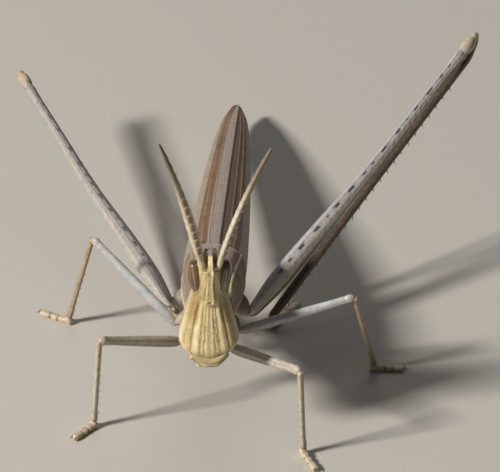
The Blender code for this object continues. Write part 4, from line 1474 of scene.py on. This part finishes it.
def slim_paint(pair):
    mid = pair == "mid"
    pale = PALE_GREY if mid else GREY.lerp(IVORY, 0.5)

    def colours(t, turn, point):
        share = turn_share(turn)
        colour = pale.lerp(BEIGE, 0.15 + 0.2 * grain(point, 0.8 * MM, 16.0))
        lines = band(share, 0.72, 0.07, 0.06) + band(share, 1.2, 0.07, 0.06)
        strength = (0.3 if mid else 0.6) * lines * step(0.95, 0.88, t)
        colour = colour.lerp(GREY.lerp(UMBER, 0.4), strength)
        colour = colour.lerp(BEIGE.lerp(OCHRE, 0.3), 0.5 * step(1.3, 1.6, share))
        dots = step(0.34, 0.46, grain(point, 0.16 * MM, 17.0))
        return coats(
            colour,
            (UMBER.lerp(BLUE_BLACK, 0.4), (0.25 if mid else 0.55) * dots),
            # the stretch by the hip is painted darker: painted shade under the body
            (BROWN.lerp(GREY, 0.4), 0.5 * step(0.35, 0.05, t)),
            (BEIGE.lerp(BROWN, 0.3), 0.55 * step(0.92, 0.97, t)),
        )

    return colours


for pair, girth in (("fore", 1.12), ("mid", 1.02)):
    thick = ((0, 0.5), (0.1, girth * 0.8), (0.4, girth * 0.85))
    thick += ((0.9, girth * 0.66), (1, girth * 0.6))
    depth = ((0, 0.6), (0.1, girth * 0.95), (0.35, girth), (0.85, girth * 0.78))
    depth += ((0.95, girth * 0.86), (1, girth * 0.7))
    for name in SIDES:
        plan = PLANS[(pair, name)]
        root, knee = plan["hip"] - plan["run"] * 0.4 * MM, plan["knee"] + plan["run"] * 0.1 * MM
        shape = limb(root, knee, plan["back"], thick, depth, close=0.05)
        thigh = rolled(shape, 150, 48, slim_paint(pair), slim_relief)
        add_piece(f"{pair}_thigh_{name}", thigh, LEG_SHELL, "leg", f"{pair}_femur_{name}")
print("four slim thighs")

# %% [markdown]
# ## Shins, spines and hairs
# A shin is a thin four-sided rod. Its spines are slim cones with dark tips, set along the two
# back corners and leaning towards the foot. They are joined into the shin's own mesh, with fine
# hairs.

# %% Shins


def prick(bm, base, direction, length, radius, tip, root, sides=6):
    """Adds one cone to a painted bmesh, pale at its root and darker at its tip."""
    place = aim(base, direction, Vector((0.3, 0.2, 0.93))) @ Matrix.Rotation(radians(-90), 4, "X")
    lifted = place @ Matrix.Translation((0, 0, length * MM * 0.42))
    sizes = {"radius1": radius * MM, "radius2": radius * 0.12 * MM, "depth": length * MM}
    made = bmesh.ops.create_cone(bm, cap_ends=True, segments=sides, matrix=lifted, **sizes)["verts"]
    store = bm.verts.layers.float_color["paint"]
    for vert in made:
        far = step(0.3, 0.7, ((vert.co - base).dot(direction) / MM) / length)
        vert[store] = (*root.lerp(tip, far), 1)


def shin_paint(pair):
    def colours(t, turn, point):
        colour = BEIGE.lerp(GREY, 0.3) if pair == "fore" else BROWN.lerp(BEIGE, 0.45)
        if pair == "hind":
            # the hind shins are painted near-black brown: painted shade under the thighs
            colour = paint(68, 60, 51).lerp(BEIGE, 0.45 * step(0.06, 0.0, t))
            colour = colour.lerp(BROWN, 0.3 * step(0.5, 0.9, abs(cos(turn))))
        return coats(
            colour,
            (UMBER, 0.35 * step(0.15, 0.4, grain(point, 0.3 * MM, 18.0))),
            (UMBER, 0.4 * step(0.95, 0.99, t)),
        )

    return colours


def shin_relief(t, turn, point):
    corners = bump(abs(cos(turn)), 0.7, 0.15)
    return 0.025 * corners - 0.012 + 0.006 * grain(point, 0.2 * MM) + 0.03 * bump(t, 0.985, 0.01)


def spines(bm, place, length, thick, hind):
    """Two rows of spines on the back corners of a shin. The last pair are the longer spurs."""
    count, first, size = (24, 0.16, 0.48) if hind else (6, 0.42, 0.3)
    for i in range(count):
        lean, long = (0.62, size) if i < count - 1 else (0.9, size * 1.5)
        for edge in (-1, 1):
            t = first + (0.96 - first) * (i + 0.25 * (edge > 0)) / count
            half = smooth(thick, t) / 2
            base = place @ mm(edge * half * 0.62, t * length, -half * 0.62)
            way = place.to_3x3() @ Vector((edge * 0.62, lean, -0.62)).normalized()
            prick(bm, base, way, long, 0.085 if hind else 0.05, DARK, BEIGE)


def shin_hairs(bm, place, length, thick, hairs):
    """Fine hairs in a spiral round a shin."""
    for i in range(hairs):
        t, angle = 0.08 + 0.88 * i / hairs, 2.4 * i
        half = smooth(thick, t) / 2 * 0.92
        base = place @ mm(cos(angle) * half, t * length, sin(angle) * half)
        way = place.to_3x3() @ Vector((cos(angle), 0.9, sin(angle))).normalized()
        prick(bm, base, way, 0.26, 0.012, BEIGE, BEIGE, sides=3)


for (pair, name), plan in PLANS.items():
    shin, hind = LEGS[pair]["shin"], pair == "hind"
    if hind:
        thick = ((0, 0.6), (0.03, 0.75), (0.08, shin * 0.85), (0.5, shin * 0.8))
        thick += ((0.93, shin), (1, shin * 0.8))
        depth = ((0, 0.7), (0.03, 0.85), (0.08, shin), (0.5, shin * 0.9))
        depth += ((0.93, shin * 1.1), (1, shin * 0.8))
        facing, along, around, bend = plan["back"], 260, 32, 1.0
    else:
        thick = ((0, shin * 1.1), (0.1, shin), (0.85, shin * 0.95), (0.96, shin * 1.15))
        thick += ((1, shin * 0.9),)
        depth = thick
        facing, along, around, bend = plan["shin_front"], 130, 28, 0.0
    top, ankle = plan["shin_start"], plan["ankle"] + plan["fall"] * 0.15 * MM
    rod_shape = limb(top, ankle, facing, thick, depth, bend=bend)
    rod = rolled(rod_shape, along, around, shin_paint(pair), shin_relief)
    place, length = aim(top, ankle - top, facing), (ankle - top).length / MM
    spines(rod, place, length, thick, hind)
    shin_hairs(rod, place, length, thick, 90 if hind else 46)
    add_piece(f"{pair}_shin_{name}", rod, LEG_SHELL, "leg", f"{pair}_tibia_{name}")
print("shins done")

# %% [markdown]
# ## Feet
# A foot has three joints and ends in two curved claws. The joints are one tube with two waists
# and a flat sole, and each claw is a short bent horn joined to it.

# %% Feet
SOLE = 0.6


def foot_shape(plan, length, scale):
    place = aim(Vector((plan["ankle"].x, plan["ankle"].y, 0)), plan["foot"])

    def shape(t, turn):
        waist = 1 - 0.4 * bump(t, 0.42, 0.035) - 0.4 * bump(t, 0.65, 0.035)
        taper = 1 - 0.12 * t
        close = cap(t, 0.06)
        half = 0.38 * scale * waist * taper * close
        low = SOLE * 0.14 * (1 - waist) / 0.4
        high = SOLE * (1 - 0.12 * step(0.3, 0.5, t)) * (0.75 + 0.25 * waist)
        high += 0.22 * bump(t, 0.13, 0.07)
        middle = (low + high) / 2
        z = middle + rounded(sin(turn), 2.8) * (high - low) / 2 * close
        return place @ mm(rounded(cos(turn), 2.4) * half, (t * 0.94 - 0.1) * length, max(z, 0.0))

    return shape, place


def foot_paint(t, turn, point):
    colour = BEIGE.lerp(BROWN, 0.45 * bump(t, 0.42, 0.03) + 0.45 * bump(t, 0.65, 0.03))
    return coats(
        colour,
        (UMBER, 0.3 * step(0.1, 0.4, grain(point, 0.25 * MM, 19.0))),
        (CREAM, 0.4 * step(-0.5, -0.9, sin(turn))),
    )


def claw(bm, place, side, start, size):
    """A horn in four short cones, curving forwards and down."""
    here, way = Vector((side * 0.12, start, 0.4)), Vector((side * 0.55, 1.0, 0.15)).normalized()
    radius = 0.085
    for i in range(4):
        base = place @ (here * MM)
        world_way = place.to_3x3() @ way
        prick(bm, base, world_way, 0.24 * size, radius, DARK, UMBER.lerp(DARK, i / 4))
        here = here + way * 0.13 * size
        way = (way + Vector((-side * 0.12, 0, -0.42))).normalized()
        radius *= 0.82


for (pair, name), plan in PLANS.items():
    length, scale = LEGS[pair]["tarsus"], LEGS[pair]["shin"] / 0.56
    shape, place = foot_shape(plan, length, scale)
    foot = rolled(shape, 90, 28, foot_paint)
    for side in (LEFT, RIGHT):
        claw(foot, place, side, length * 0.8, 0.8)
    for i in range(30):
        t, angle = 0.08 + 0.7 * i / 30, 0.4 + 2.4 * (i % 2) + 0.05 * i
        x, y, z = cos(angle) * 0.3 * scale, (t * 0.94 - 0.1) * length, 0.3 + 0.22 * sin(angle)
        base = place @ mm(x, y, z)
        way = place.to_3x3() @ Vector((cos(angle), 0.9, 0.5 * sin(angle))).normalized()
        prick(foot, base, way, 0.2, 0.011, BEIGE, BEIGE, sides=3)
    add_piece(f"{pair}_foot_{name}", foot, LEG_SHELL, "leg", f"{pair}_tarsus_{name}")
print("six feet done")
